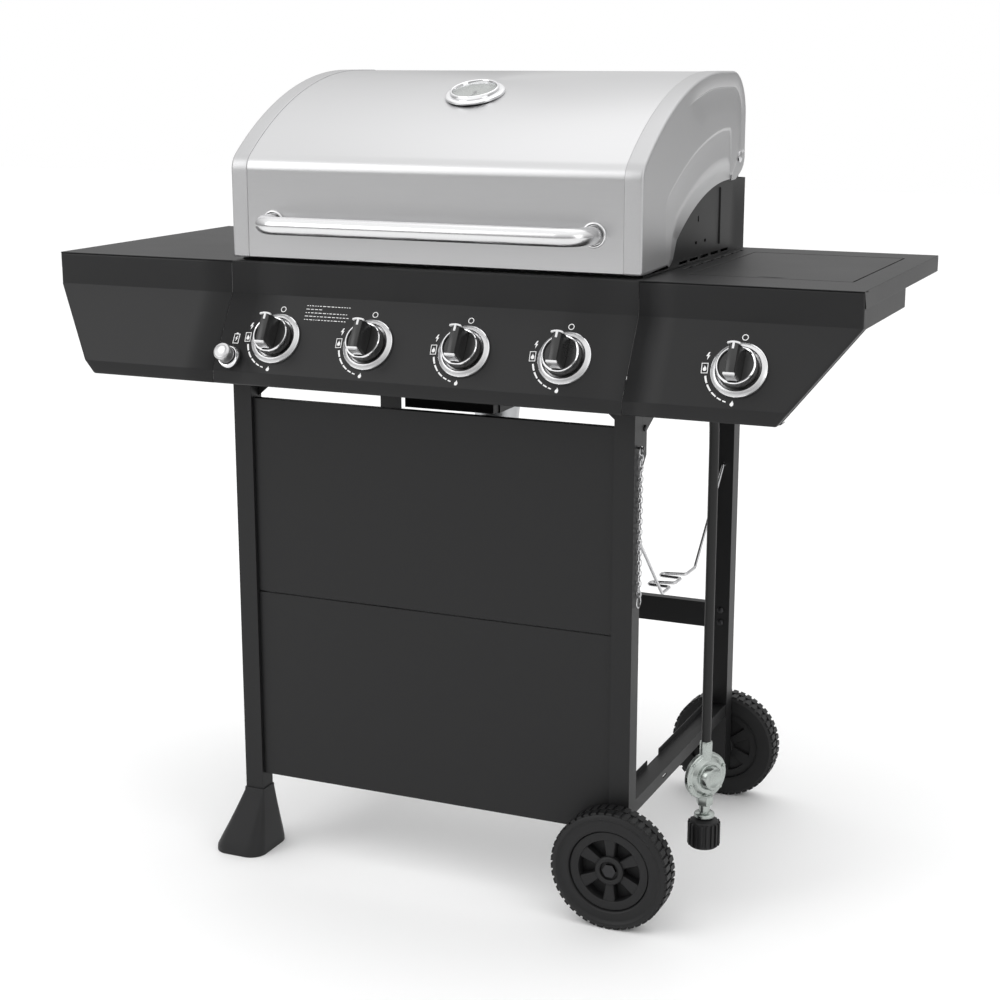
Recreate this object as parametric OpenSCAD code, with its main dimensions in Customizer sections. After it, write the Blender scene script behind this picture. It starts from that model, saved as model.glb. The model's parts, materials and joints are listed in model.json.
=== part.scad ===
// Gas barbecue grill on a cart: four main burners under a hinged lid, two side shelves,
// a side burner under a flush cover, and a gas hose with its regulator.
// X runs to the right, Y to the back and Z up. The origin is on the ground, at the middle
// of the width and depth.

/* [Overall] */
// Width across both side shelves
overall_w = 1200; // [1100:10:1300]
// Height of the worktop above the ground
worktop_h = 893; // [850:1:950]
// Thickness of the folded steel sheet
sheet = 1.2; // [0.8:0.1:1.5]

/* [Cart] */
// Width across the outer faces of the legs
cart_w = 612; // [590:2:640]
// Depth from the front legs' faces to the rear legs' backs
cart_d = 488; // [470:2:520]
// Side of the front legs' square tube and depth of the rear legs
leg_size = 29; // [26:1:34]
// Width of the rear legs' front flange
leg_flange_w = 39; // [36:1:44]
// Step from the front legs' faces back to the control panel's upper face
leg_setback = 6.5; // [4:0.5:8]
// Drop from the worktop to the top of the front legs
leg_drop = 150; // [150:1:158]
// Drop from the worktop to the top of the front panels
panel_drop = 196; // [190:1:210]
// Height of the upper front panel
upper_panel_h = 287; // [240:1:300]
// Height of the lower front panel's lower edge above the ground
panel_clear = 124; // [120:1:140]
// Gap between the two front panels
panel_seam = 2; // [1:0.5:4]
// Depth of the front panels' folded edges
panel_return = 12; // [8:1:16]
// Height of the rear crossbar's top edge above the ground
crossbar_up = 333; // [280:1:380]
// Height of the rear crossbar
crossbar_h = 40; // [30:1:50]
// Height of the lower side beams' top face above the ground
beam_up = 167; // [160:1:190]
// Height of the lower side beams
beam_h = 20; // [16:1:26]
// Width of the lower side beams' top face
beam_w = 28; // [20:1:30]
// Height of the foot caps
foot_h = 100; // [80:1:115]
// Reach of a foot cap's base in front of and behind its leg
foot_reach = 34; // [25:1:36]
// Reach of a foot cap's base beyond its leg's outer face
foot_spread = 44; // [30:1:50]

/* [Wheels] */
// Radius of the wheels
wheel_r = 85.5; // [75:0.5:90]
// Width of the wheels
wheel_w = 39; // [32:1:40]
// Gap between a wheel and its leg
wheel_gap = 2.5; // [1:0.5:4]
// Radius of the axle bolts
axle_r = 6; // [4:0.5:8]
// Windows between the spokes of a wheel
wheel_windows = 6; // [5:1:8]

/* [Control panel] */
// Height of the upright upper facet
facet_1 = 46; // [40:1:52]
// Height of the sloping facet
facet_2 = 102; // [98:1:110]
// Slope of the knob facet, away from upright
slope = 30; // [26:1:32]
// Height of the upright lower lip
facet_3 = 19; // [14:1:24]
// Depth of the folded edge under the lower lip
lip_return = 24; // [16:1:28]
// Height of the upright part of the fascias' outer ends
end_upright = 55; // [50:1:60]
// Inward lean of the fascias' outer ends, per unit of height
end_lean = 0.815; // [0.6:0.005:0.9]
// Depth of the folded flange round a fascia's outer end
end_flange = 20; // [12:1:22]

/* [Knobs] */
// Distance between neighbouring main knobs
knob_pitch = 144.5; // [130:0.5:150]
// Distance down the sloping facet to the knobs' centres
knob_down = 66; // [62:1:68]
// Outer radius of the bezels
bezel_r = 37; // [34:0.5:40]
// Radius of a knob's skirt
knob_r = 26; // [22:0.5:27]
// Height of a knob's top above the panel
knob_top = 45; // [38:1:48]
// Width of a knob's grip
grip_w = 16; // [12:1:18]
// Half length of a knob's grip bar
grip_half = 22; // [18:1:24]
// Inward travel of a knob when pushed
knob_travel = 5; // [3:0.5:6]
// Radius of the valve stems
stem_r = 4; // [3:0.5:4.5]
// Distance of the igniter button's centre from the middle
igniter_x = 283.7; // [280:0.5:285]
// Distance down the sloping facet to the igniter button
igniter_down = 98; // [96:1:99]
// Radius of the igniter button's cap
igniter_r = 12.5; // [10:0.5:13]

/* [Shelves] */
// Depth of the side shelves
shelf_d = 469; // [450:1:480]
// Height of the shelves' folded edges
shelf_skirt = 23; // [18:1:30]
// Width of the side burner's cover
cover_w = 218; // [200:2:230]
// Depth of the side burner's cover
cover_d = 310; // [290:2:330]
// Distance from the fascia's face back to the side burner's cover
cover_back = 94; // [90:1:100]
// Gap round the side burner's cover
cover_gap = 2; // [1.5:0.5:3]
// Depth of the side burner's well
well_depth = 70; // [60:1:80]

/* [Firebox] */
// Half width of the firebox below its step
box_half = 262; // [255:1:264]
// Drop from the worktop to the firebox's step
step_drop = 27; // [24:1:30]
// Drop from the worktop to the bottom of the firebox's walls
box_drop = 140; // [135:1:142]
// Distance from the panel's upper face to the firebox's front wall
box_front = 26; // [25:1:30]
// Depth of the firebox
box_d = 458; // [450:1:460]
// Height of the firebox's back above the worktop
box_rise = 104; // [98:1:104]
// Radius of the burner tubes
burner_r = 14; // [11:0.5:15]
// Width of the grease tray
tray_w = 138; // [120:2:150]
// Depth of the grease tray, from front to back
tray_d = 330; // [300:5:350]
// Height of the grease tray
tray_h = 18; // [12:1:20]

/* [Lid] */
// Height of the lid's top above the worktop
lid_h = 260; // [250:1:270]
// Gap between the worktop and the lid's lower edge
lid_gap = 5; // [4:0.5:8]
// Distance from the panel's upper face to the lid's front
lid_front = 8; // [6:0.5:10]
// Depth of the lid
lid_d = 454; // [450:1:460]
// Radius of the lid's long front curve
lid_curve = 520; // [500:5:560]
// Radius of the bend between the lid's front and its curve
lid_fold = 30; // [20:1:40]
// Radius of the lid's rear top corner
lid_rear_r = 65; // [55:1:75]
// Height of the lid's rear edge above the worktop
lid_rear_edge = 121; // [118:1:124]
// Width of the lid's end caps
cap_w = 25; // [20:1:30]
// Thickness of the lid's end caps
cap_wall = 2.5; // [2:0.1:3]
// Distance from the lid's back to its pivot
pivot_in = 27; // [25:1:28]
// Height of the lid's pivot above the worktop
pivot_up = 137; // [136:1:139]
// Radius of the pivot bolts
pivot_r = 5; // [4:0.5:6]
// Distance between the handle's ends
handle_span = 480; // [440:5:500]
// Distance from the lid's front to the handle's middle line
handle_reach = 50; // [44:1:60]
// Height of the handle above the worktop
handle_up = 55; // [48:0.5:70]
// Radius of the handle's tube
handle_r = 12.5; // [10:0.5:13]
// Radius of the handle's bends
handle_bend = 32; // [28:1:40]
// Distance from the lid's front to the gauge's middle
gauge_back = 156.5; // [130:0.5:180]
// Outer radius of the gauge's bezel
gauge_r = 43; // [36:0.5:46]

/* [Gas hose] */
// Diameter of the gas hose
hose_d = 13.7; // [12:0.1:15]
// Radius of the regulator's disc
regulator_r = 34; // [28:0.5:36]
// Direction of the regulator's face, from straight ahead round to the right
regulator_turn = 56; // [30:1:70]
// Radius of the coupling nut
nut_r = 23; // [20:0.5:25]

/* [Hidden] */
$fn = 64;
// Running clearance between a pin and its bore
run = 0.05;
// Clearance between pieces that pass each other
pass = 0.3;
// Heights that the pieces share
fold_1 = worktop_h - facet_1;
fold_2 = fold_1 - facet_2;
face_bottom = fold_2 - facet_3;
leg_top = worktop_h - leg_drop;
step_z = worktop_h - step_drop;
wall_bottom = worktop_h - box_drop;
drain_z = wall_bottom - 41;
panel_top = worktop_h - panel_drop;
lower_panel_top = panel_top - upper_panel_h - panel_seam;
grate_bottom = step_z + sheet;
// Half widths
half_w = overall_w / 2;
leg_out = cart_w / 2;
leg_in = leg_out - leg_size;
leg_mid = leg_out - leg_size / 2;
wall_half = leg_out - 4;
cap_in = leg_out - cap_w;
plate_in = leg_out - cap_wall;
// The slope's sideways shift, and how far the lower lip stands forward
lean = tan(slope / 2);
lip_forward = facet_2 * tan(slope);
// Depths, from the control panel's upper face
leg_face = -leg_setback;
leg_back = leg_face + leg_size;
rear_leg_back = leg_face + cart_d;
rear_leg_face = rear_leg_back - leg_size;
box_back = box_front + box_d;
lid_back = lid_front + lid_d;
pivot_y = lid_back - pivot_in;
pivot_z = worktop_h + pivot_up;
knob_reach = (knob_down + grip_half) * sin(slope) + knob_top * cos(slope);
wheel_back = rear_leg_back + wheel_gap + wheel_w;
// Depth of the panel's upper face in the part's own frame, so that the origin is in the middle
panel_y = (knob_reach - wheel_back) / 2;
knob_x = [for (i = [0:3]) (i - 1.5) * knob_pitch];
side_knob_x = (leg_out + half_w) / 2;
all_knob_x = concat(knob_x, [side_knob_x]);
// The manifold pipe, below and behind the valves
pipe_r = 10;
pipe_under = 22;
pipe_behind = 32;
pipe_y = -(knob_down + pipe_under) * sin(slope) + pipe_behind * cos(slope);
pipe_z = fold_1 - (knob_down + pipe_under) * cos(slope) - pipe_behind * sin(slope);
// The jets, level behind each valve
jet_z = fold_1 - knob_down * cos(slope) - 20 * sin(slope);
// The lid's long curve: its centre, and where it meets the front
curve_y = lid_back - lid_rear_r - 56;
curve_z = worktop_h + lid_h - lid_curve;
bend_y = lid_front + lid_fold;
bend_z = curve_z + sqrt(pow(lid_curve - lid_fold, 2) - pow(curve_y - bend_y, 2));
bend_turn = atan2(bend_z - curve_z, bend_y - curve_y);
rear_y = lid_back - lid_rear_r;
rear_z = worktop_h + lid_h - lid_rear_r;
// The lower edge of the lid's ends: a long curve, with its centre and radius
edge_y = 388;
edge_z = worktop_h - 340;
edge_r = 446;
// The gauge: its place on the long curve and its tilt
gauge_y = lid_front + gauge_back;
gauge_tilt = asin((curve_y - gauge_y) / lid_curve);
gauge_z = curve_z + lid_curve * cos(gauge_tilt);
// The side burner's cover and its well
cover_x0 = side_knob_x - cover_w / 2;
cover_x1 = cover_x0 + cover_w;
cover_y1 = cover_back + cover_d;
cover_skirt = 12;
cover_pin_y = cover_y1 - 3;
cover_pin_z = worktop_h - 4.5;
cover_pin_r = 2;
well_bottom = worktop_h - well_depth;
// How low the legs reach inside the foot caps, and above the wheels
leg_foot_z = 20;
wheel_leg_z = wheel_r - leg_size;
// The tank's retaining wire
wire_r = 2.3;
wire_top = worktop_h - 334;
wire_low = wire_top - 131;
wire_mid = (leg_back + rear_leg_face) / 2;
// The match chain, hung beside the right front leg
chain_x = leg_out + 4;
chain_y = leg_face + leg_size / 2;
chain_top = worktop_h - 226;
chain_len = 200;
// The hook pin that the chain's top ring hangs on
ring_r = 6;
ring_wire = 1;
hook_r = 1.4;
hook_z = chain_top + ring_r - ring_wire - hook_r - run;
// The hose's route: back out of its fitting, over into its hang, and straight down
hose_x = 391;
hose_r = hose_d / 2;
hose_exit = [hose_x, 12, 755];
hose_route = [
    [391, 12, 755], [391, 20, 755], [391, 31, 752], [391, 43, 745], [391, 54, 734], [391, 62, 721],
    [391, 67, 706], [391, 69, 691], [391, 70, 670], [391, 70, 640], [391, 70, 600], [391, 70, 560],
    [391, 70, 520], [391, 70, 480], [391, 70, 440], [391, 70, 400], [391, 70, 360], [391, 70, 320],
    [391, 70, 280], [391, 70, 244]
];
hose_end = hose_route[len(hose_route) - 1];

// Points along an arc in the YZ plane
function arc(y, z, r, from, to, steps) = [
    for (i = [0:steps]) let (a = from + (to - from) * i / steps) [y + r * cos(a), z + r * sin(a)]
];

// The control panel's face, as a line t inside its outer surface
function face_line(t) = [
    [t, fold_1 - t * lean], [t - lip_forward, fold_2 - t * lean], [t - lip_forward, face_bottom + t]
];

// The lid's cross-section, t inside its outer surface, from the front edge to a height at the back
function lid_line(t, back_end) = concat(
    [[lid_front + t, worktop_h + lid_gap]],
    arc(bend_y, bend_z, lid_fold - t, 180, bend_turn, 8),
    arc(curve_y, curve_z, lid_curve - t, bend_turn, 90, 24),
    arc(rear_y, rear_z, lid_rear_r - t, 90, 0, 14),
    [[lid_back - t, back_end]]
);

function reversed(list) = [for (i = [len(list) - 1:-1:0]) list[i]];

// The lower edge of the lid's ends, from the back to the front, u above the edge itself
function end_edge(u) = concat(
    arc(edge_y, edge_z, edge_r + u, 86, 122, 16),
    [[137 - u, worktop_h + 14], [124 - u, worktop_h + lid_gap]]
);

module at_panel() {
    translate([0, panel_y, 0]) children();
}

module box(low, high) {
    translate(low) cube(high - low);
}

// Extrudes an outline in the YZ plane along X
module along_x(x0, x1) {
    translate([x0, 0, 0]) rotate([90, 0, 90]) linear_extrude(x1 - x0) children();
}

// Extrudes an outline in the XZ plane along Y
module along_y(y0, y1) {
    translate([0, y1, 0]) rotate([90, 0, 0]) linear_extrude(y1 - y0) children();
}

module rod(from, to, r) {
    v = to - from;
    length = norm(v);
    translate(from) rotate([0, acos(v[2] / length), atan2(v[1], v[0])]) cylinder(h = length, r = r);
}

// A bent rod through a list of points
module wire(points, r) {
    for (i = [0:len(points) - 2]) rod(points[i], points[i + 1], r, $fn = 12);
    for (i = [1:len(points) - 2]) translate(points[i]) sphere(r, $fn = 12);
}

// Places a piece on the knob facet: its Z axis stands square out of the facet
module on_facet(x, down) {
    translate([x, -down * sin(slope), fold_1 - down * cos(slope)]) rotate([90 - slope, 0, 0]) children();
}

module both_sides() {
    children();
    mirror([1, 0, 0]) children();
}

// Cart

module front_leg(side, bottom) {
    at_panel() on_side(side) difference() {
        box([leg_in, leg_face, bottom], [leg_out, leg_back, leg_top]);
        box([leg_in + sheet, leg_face + sheet, bottom - 1], [leg_out - sheet, leg_back - sheet, leg_top + 1]);
        if (side > 0) {
            translate([leg_mid, 0, wheel_r]) rotate([-90, 0, 0]) cylinder(h = 60, r = axle_r - 2 + run, center = true);
            translate([leg_mid, leg_back, wire_top]) rotate([90, 0, 0]) cylinder(h = 8, r = wire_r + run, center = true);
        }
    }
}

module rear_leg(side, bottom) {
    at_panel() on_side(side) difference() {
        union() {
            box([leg_out - leg_flange_w, rear_leg_face, bottom], [leg_out, rear_leg_face + sheet, step_z]);
            box([leg_out - sheet, rear_leg_face, bottom], [leg_out, rear_leg_back, step_z]);
            if (side > 0) box([leg_out - leg_flange_w, rear_leg_back - sheet, bottom], [leg_out, rear_leg_back, 2 * wheel_r]);
        }
        if (side > 0) {
            translate([leg_mid, rear_leg_back, wheel_r]) rotate([90, 0, 0]) cylinder(h = 8, r = axle_r - 2 + run, center = true);
            translate([leg_mid, rear_leg_face, wire_top]) rotate([90, 0, 0]) cylinder(h = 8, r = wire_r + run, center = true);
        }
    }
}

module on_side(side) {
    if (side > 0) children();
    else mirror([1, 0, 0]) children();
}

module leg_front_left() {
    color("dimgray") front_leg(-1, leg_foot_z);
}

module leg_front_right() {
    color("dimgray") front_leg(1, wheel_leg_z);
}

module leg_rear_left() {
    color("dimgray") rear_leg(-1, leg_foot_z);
}

module leg_rear_right() {
    color("dimgray") rear_leg(1, wheel_leg_z);
}

module leg_brackets() {
    color("dimgray") at_panel() both_sides() {
        along_x(leg_out - sheet, leg_out) polygon([
            [leg_back, leg_top - 108], [leg_back + 19, leg_top - 88], [leg_back + 19, leg_top - 55],
            [leg_back + 101, leg_top - 17], [leg_back + 180, leg_top + 20], [leg_back + 180, step_z],
            [leg_back, step_z]
        ]);
        along_y(leg_back - 8, leg_back - 8 + sheet)
            polygon([[leg_in, leg_top], [leg_in, leg_top - 45], [leg_in - 20, leg_top - 28], [leg_in - 20, leg_top]]);
    }
}

module rear_crossbar() {
    end = leg_out - leg_flange_w;
    color("dimgray") at_panel() {
        box([-end, rear_leg_face, crossbar_up - crossbar_h], [end, rear_leg_face + sheet, crossbar_up]);
        box([-end, rear_leg_face, crossbar_up - sheet], [end, rear_leg_face + 15, crossbar_up]);
    }
}

// A lower side beam: an outer face, a top face with a raised inner edge, and a lip underneath
module side_beam() {
    outer = leg_out - sheet;
    inner = outer - beam_w;
    low = beam_up - beam_h;
    length = rear_leg_face - leg_back;
    difference() {
        union() {
            box([outer - sheet, leg_back, low], [outer, rear_leg_face, beam_up]);
            box([inner, leg_back, beam_up - sheet], [outer, rear_leg_face, beam_up]);
            box([inner, leg_back, beam_up - sheet], [inner + sheet, rear_leg_face, beam_up + 9]);
            box([outer - 8, leg_back, low], [outer, rear_leg_face, low + sheet]);
        }
        box([inner - 1, leg_back + length * 0.3, beam_up], [inner + sheet + 1, leg_back + length * 0.42, beam_up + 20]);
        box([outer - 4, leg_back + length * 0.28, beam_up - 12], [outer + 1, leg_back + length * 0.28 + 16, beam_up - 8]);
    }
}

module tank_beam() {
    color("dimgray") at_panel() side_beam();
}

module left_beam() {
    color("dimgray") at_panel() mirror([1, 0, 0]) side_beam();
}

// A front panel with its edges folded back
module front_panel(top, height) {
    low = top - height;
    at_panel() {
        box([-leg_in, 0, low], [leg_in, sheet, top]);
        box([-leg_in, 0, top - sheet], [leg_in, panel_return, top]);
        box([-leg_in, 0, low], [leg_in, panel_return, low + sheet]);
        both_sides() box([leg_in - sheet, 0, low], [leg_in, panel_return, top]);
    }
}

module front_panel_upper() {
    color([0.2, 0.2, 0.2]) front_panel(panel_top, upper_panel_h);
}

module front_panel_lower() {
    color([0.2, 0.2, 0.2]) front_panel(lower_panel_top, lower_panel_top - panel_clear);
}

// A flared foot cap round the bottom of a left leg, whose section reaches in to inner
module foot_cap(leg_y, inner) {
    middle = leg_y + leg_size / 2;
    y0 = middle - leg_size / 2 - foot_reach;
    y1 = middle + leg_size / 2 + foot_reach;
    difference() {
        hull() {
            box([-leg_out - 2, leg_y - 2, foot_h - 2], [-inner + 2, leg_y + leg_size + 2, foot_h]);
            box([-leg_out - 20, y1 - 6, 0], [-inner + 8, y1, 6]);
            box([-leg_out - 20, y0, 0], [-inner + 8, middle, 6]);
            translate([-leg_out - foot_spread + 26, middle, 0]) cylinder(h = 6, r = 26, $fn = 32);
        }
        box([-leg_out, leg_y, leg_foot_z], [-inner, leg_y + leg_size, foot_h + 1]);
    }
}

module foot_caps() {
    color([0.22, 0.22, 0.22]) at_panel() {
        foot_cap(leg_face, leg_in);
        foot_cap(rear_leg_face, leg_out - leg_flange_w);
    }
}

// A dome-headed bolt whose head stands on a face, with local Z out of the face
module bolt_head(r, h) {
    rotate_extrude() polygon(concat([[0, 0], [r, 0], [r, h * 0.4]], [for (i = [1:6]) [r * cos(i * 15), h * (0.4 + 0.6 * sin(i * 15))]]));
}

module axle_bolt() {
    // local Z points out of the leg along the axle
    cylinder(h = wheel_gap + wheel_w - 10, r = axle_r);
    translate([0, 0, -8]) cylinder(h = 8, r = axle_r - 2);
    translate([0, 0, wheel_gap + wheel_w - 10]) cylinder(h = 5, r = axle_r + 4, $fn = 6);
}

module cart_bolts() {
    color("silver") at_panel() {
        translate([leg_mid, leg_face, wheel_r]) rotate([90, 0, 0]) axle_bolt();
        translate([leg_mid, rear_leg_back, wheel_r]) rotate([-90, 0, 0]) axle_bolt();
        for (x = [leg_mid, -leg_mid]) {
            for (z = [crossbar_up - 10, crossbar_up - crossbar_h + 10, beam_up - 8]) {
                translate([x, rear_leg_face, z]) rotate([90, 0, 0]) bolt_head(5, 3);
            }
        }
        both_sides() {
            for (z = [leg_top - 20, leg_top - 50]) {
                translate([leg_out, leg_back + 10, z]) rotate([0, 90, 0]) bolt_head(4.5, 2.8);
            }
        }
        translate([leg_out, chain_y, hook_z]) rotate([0, 90, 0]) {
            cylinder(h = 7, r = hook_r);
            translate([0, 0, 7]) cylinder(h = 1.5, r = 2.6);
        }
    }
}

// A wheel, with local Z out along the axle and the hub's inner end at the origin
module wheel() {
    rim = wheel_r - 31;
    difference() {
        union() {
            rotate_extrude($fn = 96) polygon([
                [rim, 2], [rim + 4, 0], [wheel_r - 4, 0], [wheel_r, 4], [wheel_r, wheel_w - 4],
                [wheel_r - 4, wheel_w], [rim + 4, wheel_w], [rim, wheel_w - 2]
            ]);
            translate([0, 0, wheel_w - 14]) cylinder(h = 6, r = rim + 0.5);
            cylinder(h = wheel_w - 3, r = 17);
        }
        translate([0, 0, -1]) cylinder(h = wheel_w + 2, r = axle_r + run);
        translate([0, 0, wheel_w - 10]) cylinder(h = 20, r = 13);
        for (i = [0:wheel_windows - 1]) {
            rotate([0, 0, i * 360 / wheel_windows]) translate([0, 0, wheel_w - 20]) linear_extrude(20)
                polygon([[20, -4], [rim - 4, -13], [rim - 2, 0], [rim - 4, 13], [20, 4]]);
        }
    }
}

module wheel_front() {
    color([0.2, 0.2, 0.2]) at_panel() translate([leg_mid, leg_face - wheel_gap, wheel_r]) rotate([90, 0, 0]) wheel();
}

module wheel_rear() {
    color([0.2, 0.2, 0.2]) at_panel() translate([leg_mid, rear_leg_back + wheel_gap, wheel_r]) rotate([-90, 0, 0]) wheel();
}

// Firebox

module firebox_wall_outline(top) {
    polygon([
        [-box_half, wall_bottom], [box_half, wall_bottom], [box_half, step_z + sheet],
        [wall_half - sheet, step_z + sheet], [wall_half - sheet, top], [-wall_half + sheet, top],
        [-wall_half + sheet, step_z + sheet], [-box_half, step_z + sheet]
    ]);
}

module firebox_walls() {
    color([0.15, 0.15, 0.15]) at_panel() {
        difference() {
            along_y(box_front, box_front + sheet) firebox_wall_outline(worktop_h + 2);
            for (x = knob_x) translate([x, box_front, jet_z]) rotate([90, 0, 0]) cylinder(h = 10, r = burner_r + pass, center = true);
        }
        along_y(box_back - sheet, box_back) firebox_wall_outline(worktop_h + box_rise);
    }
}

module firebox_side() {
    box([box_half, box_front, wall_bottom], [box_half + sheet, box_back, step_z]);
    box([box_half, box_front, step_z], [leg_out, box_back, step_z + sheet]);
    difference() {
        along_x(wall_half - sheet, wall_half) polygon(concat(
            [[box_front, step_z + sheet], [box_back, step_z + sheet], [box_back, worktop_h + box_rise],
             [418, worktop_h + box_rise]],
            [for (p = end_edge(8)) if (p[0] < 415 && p[0] > 140) p],
            [[127, worktop_h + 2], [box_front, worktop_h + 2]]
        ));
        for (i = [0:4]) box([0, 175 + i * 48, worktop_h + 2], [leg_out, 210 + i * 48, worktop_h + 6]);
        box([0, 255, worktop_h + 55], [leg_out, 259, worktop_h + 63]);
        box([0, 244, worktop_h + 24], [leg_out, 252, worktop_h + 28]);
        box([0, 286, worktop_h + 24], [leg_out, 294, worktop_h + 28]);
    }
}

module firebox_sides() {
    color([0.15, 0.15, 0.15]) at_panel() both_sides() firebox_side();
}

// The funnel under the burners, open at the bottom over the grease tray, with the tray's rails
drain_y0 = 90;
drain_y1 = 380;
rail_z = drain_z - 25;

module firebox_funnel() {
    drain = tray_w / 2 - 4;
    color([0.15, 0.15, 0.15]) at_panel() {
        difference() {
            hull() {
                box([-box_half, box_front, wall_bottom - 1], [box_half, box_back, wall_bottom]);
                box([-drain, drain_y0, drain_z], [drain, drain_y1, drain_z + 1]);
            }
            hull() {
                box([-box_half + 2, box_front + 2, wall_bottom - 0.5], [box_half - 2, box_back - 2, wall_bottom + 1]);
                box([-drain + 2, drain_y0 + 2, drain_z - 0.5], [drain - 2, drain_y1 - 2, drain_z + 0.5]);
            }
        }
        both_sides() {
            x = tray_w / 2 + pass;
            box([x, drain_y0, rail_z], [x + sheet, drain_y1, drain_z]);
            box([drain - 6, drain_y0, drain_z - sheet], [x + sheet, drain_y1, drain_z]);
            box([x - 8, drain_y0, rail_z - sheet], [x + sheet, drain_y1, rail_z]);
            box([44, 190, rail_z - 10], [44 + sheet, 290, rail_z - sheet]);
            box([38, 190, rail_z - 10 - sheet], [44 + sheet, 290, rail_z - 10]);
            for (y = [190, 286]) box([44, y, rail_z - 2 * sheet], [x + sheet, y + 4, rail_z - sheet]);
        }
    }
}

// The grease tray, drawn out backwards on its rails
tray_bottom = rail_z + pass;

module grease_tray() {
    y0 = 70;
    color("silver") at_panel() difference() {
        union() {
            box([-tray_w / 2, y0, tray_bottom], [tray_w / 2, y0 + tray_d, tray_bottom + tray_h]);
            box([-30, y0 + tray_d, tray_bottom], [30, y0 + tray_d + 14, tray_bottom + sheet]);
        }
        box([-tray_w / 2 + sheet, y0 + sheet, tray_bottom + sheet],
            [tray_w / 2 - sheet, y0 + tray_d - sheet, tray_bottom + tray_h + 1]);
        translate([0, 240, tray_bottom - 1]) cylinder(h = 4, r = 8);
    }
}

// The grease cup, its rim riding on the lips under the rails
module grease_cup() {
    top = rail_z - 10 + pass;
    color("silver") at_panel() translate([0, 240, top]) rotate_extrude()
        polygon([[0, -50], [30, -50], [36, 0], [43, 0], [43, sheet], [35, sheet], [29, -50 + sheet], [0, -50 + sheet]]);
}

// The four burner tubes, open at the front over their jets
module burners() {
    color("silver") at_panel() for (x = knob_x) {
        translate([x, 18, jet_z]) rotate([-90, 0, 0]) difference() {
            cylinder(h = box_back - sheet - 18, r = burner_r);
            translate([0, 0, -1]) cylinder(h = box_back - sheet - 18 - 2, r = burner_r - sheet);
        }
    }
}

// Roof-shaped plates over the burners
module flame_tamers() {
    half = 44;
    top = jet_z + burner_r + 34;
    color("silver") at_panel() for (x = knob_x) {
        along_y(box_front + sheet, box_back - sheet) polygon([
            [x - half, top - 26], [x, top], [x + half, top - 26], [x + half, top - 26 - sheet],
            [x, top - sheet - 0.3], [x - half, top - 26 - sheet]
        ]);
    }
}

// One cooking grate: bars running back, tied by cross bars
module grate(x0, x1) {
    bars = 15;
    y0 = box_front + sheet + 2;
    y1 = box_back - sheet - 2;
    for (i = [0:bars - 1]) {
        x = x0 + (x1 - x0 - 6) * i / (bars - 1);
        box([x, y0, grate_bottom], [x + 6, y1, grate_bottom + 10]);
    }
    for (y = [y0, (y0 + y1) / 2 - 4, y1 - 8]) box([x0, y, grate_bottom], [x1, y + 8, grate_bottom + 10]);
}

module cooking_grates() {
    half = wall_half - sheet - 2;
    color([0.12, 0.12, 0.12]) at_panel() {
        grate(-half, -1);
        grate(1, half);
    }
}

// The warming rack's place and depth
rack_y = 290;
rack_d = 110;

module warming_rack() {
    half = wall_half - sheet;
    z = worktop_h + 62;
    color("silver") at_panel() {
        for (y = [rack_y, rack_y + rack_d]) rod([-half, y, z], [half, y, z], 3);
        for (i = [-12:12]) rod([i * 23, rack_y, z], [i * 23, rack_y + rack_d, z], 1.8);
    }
}

// Control panel, fascias and shelves

module folded_face(x0, x1, back, top) {
    along_x(x0, x1) polygon(concat(
        [[back, top], [0, top]], face_line(0),
        [[lip_return - lip_forward, face_bottom], [lip_return - lip_forward, face_bottom + sheet]],
        reversed(face_line(sheet)), [[sheet, top - sheet], [back, top - sheet]]
    ));
}

module control_panel() {
    color([0.2, 0.2, 0.2]) at_panel() difference() {
        folded_face(-leg_out, leg_out, box_front, worktop_h);
        for (x = knob_x) on_facet(x, knob_down) cylinder(h = 10, r = stem_r + 3, center = true);
        on_facet(-igniter_x, igniter_down) cylinder(h = 10, r = stem_r + 3, center = true);
    }
}

// The outline of the region that a fascia keeps, cut off at its leaning end
module fascia_keep(inset) {
    corner = worktop_h - end_upright;
    polygon([
        [leg_out, worktop_h + 5], [half_w - inset, worktop_h + 5], [half_w - inset, corner - inset * 0.4],
        [half_w - inset - (corner - face_bottom + 5) * end_lean, face_bottom - 5 - inset * 0.4],
        [leg_out, face_bottom - 5]
    ]);
}

module fascia() {
    top = worktop_h - sheet;
    difference() {
        intersection() {
            folded_face(leg_out, half_w, end_flange, top);
            along_y(-200, 200) fascia_keep(0);
        }
        box([half_w - sheet, sheet, worktop_h - shelf_skirt], [half_w + 1, 60, worktop_h + 1]);
    }
    intersection() {
        along_y(-200, 200) difference() {
            fascia_keep(0);
            fascia_keep(sheet);
        }
        along_x(leg_out + 10, half_w) polygon(concat(
            [[end_flange, worktop_h - shelf_skirt], [sheet, worktop_h - shelf_skirt]], face_line(sheet),
            reversed([for (p = face_line(sheet)) [p[0] + end_flange, p[1]]])
        ));
    }
}

module fascia_left() {
    color([0.2, 0.2, 0.2]) at_panel() mirror([1, 0, 0]) fascia();
}

module fascia_right() {
    color([0.2, 0.2, 0.2]) at_panel() difference() {
        fascia();
        on_facet(side_knob_x, knob_down) cylinder(h = 10, r = stem_r + 3, center = true);
    }
}

// A side shelf: a top sheet with folded outer and rear edges and a row of slots beside the firebox
module shelf() {
    difference() {
        union() {
            box([leg_out, 0, worktop_h - sheet], [half_w, shelf_d, worktop_h]);
            box([half_w - sheet, sheet, worktop_h - shelf_skirt], [half_w, shelf_d, worktop_h]);
            box([leg_out, shelf_d - sheet, worktop_h - shelf_skirt], [half_w, shelf_d, worktop_h]);
        }
        for (i = [0:5]) box([leg_out + 9, 150 + i * 48, worktop_h - 5], [leg_out + 14, 185 + i * 48, worktop_h + 1]);
    }
}

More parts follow.
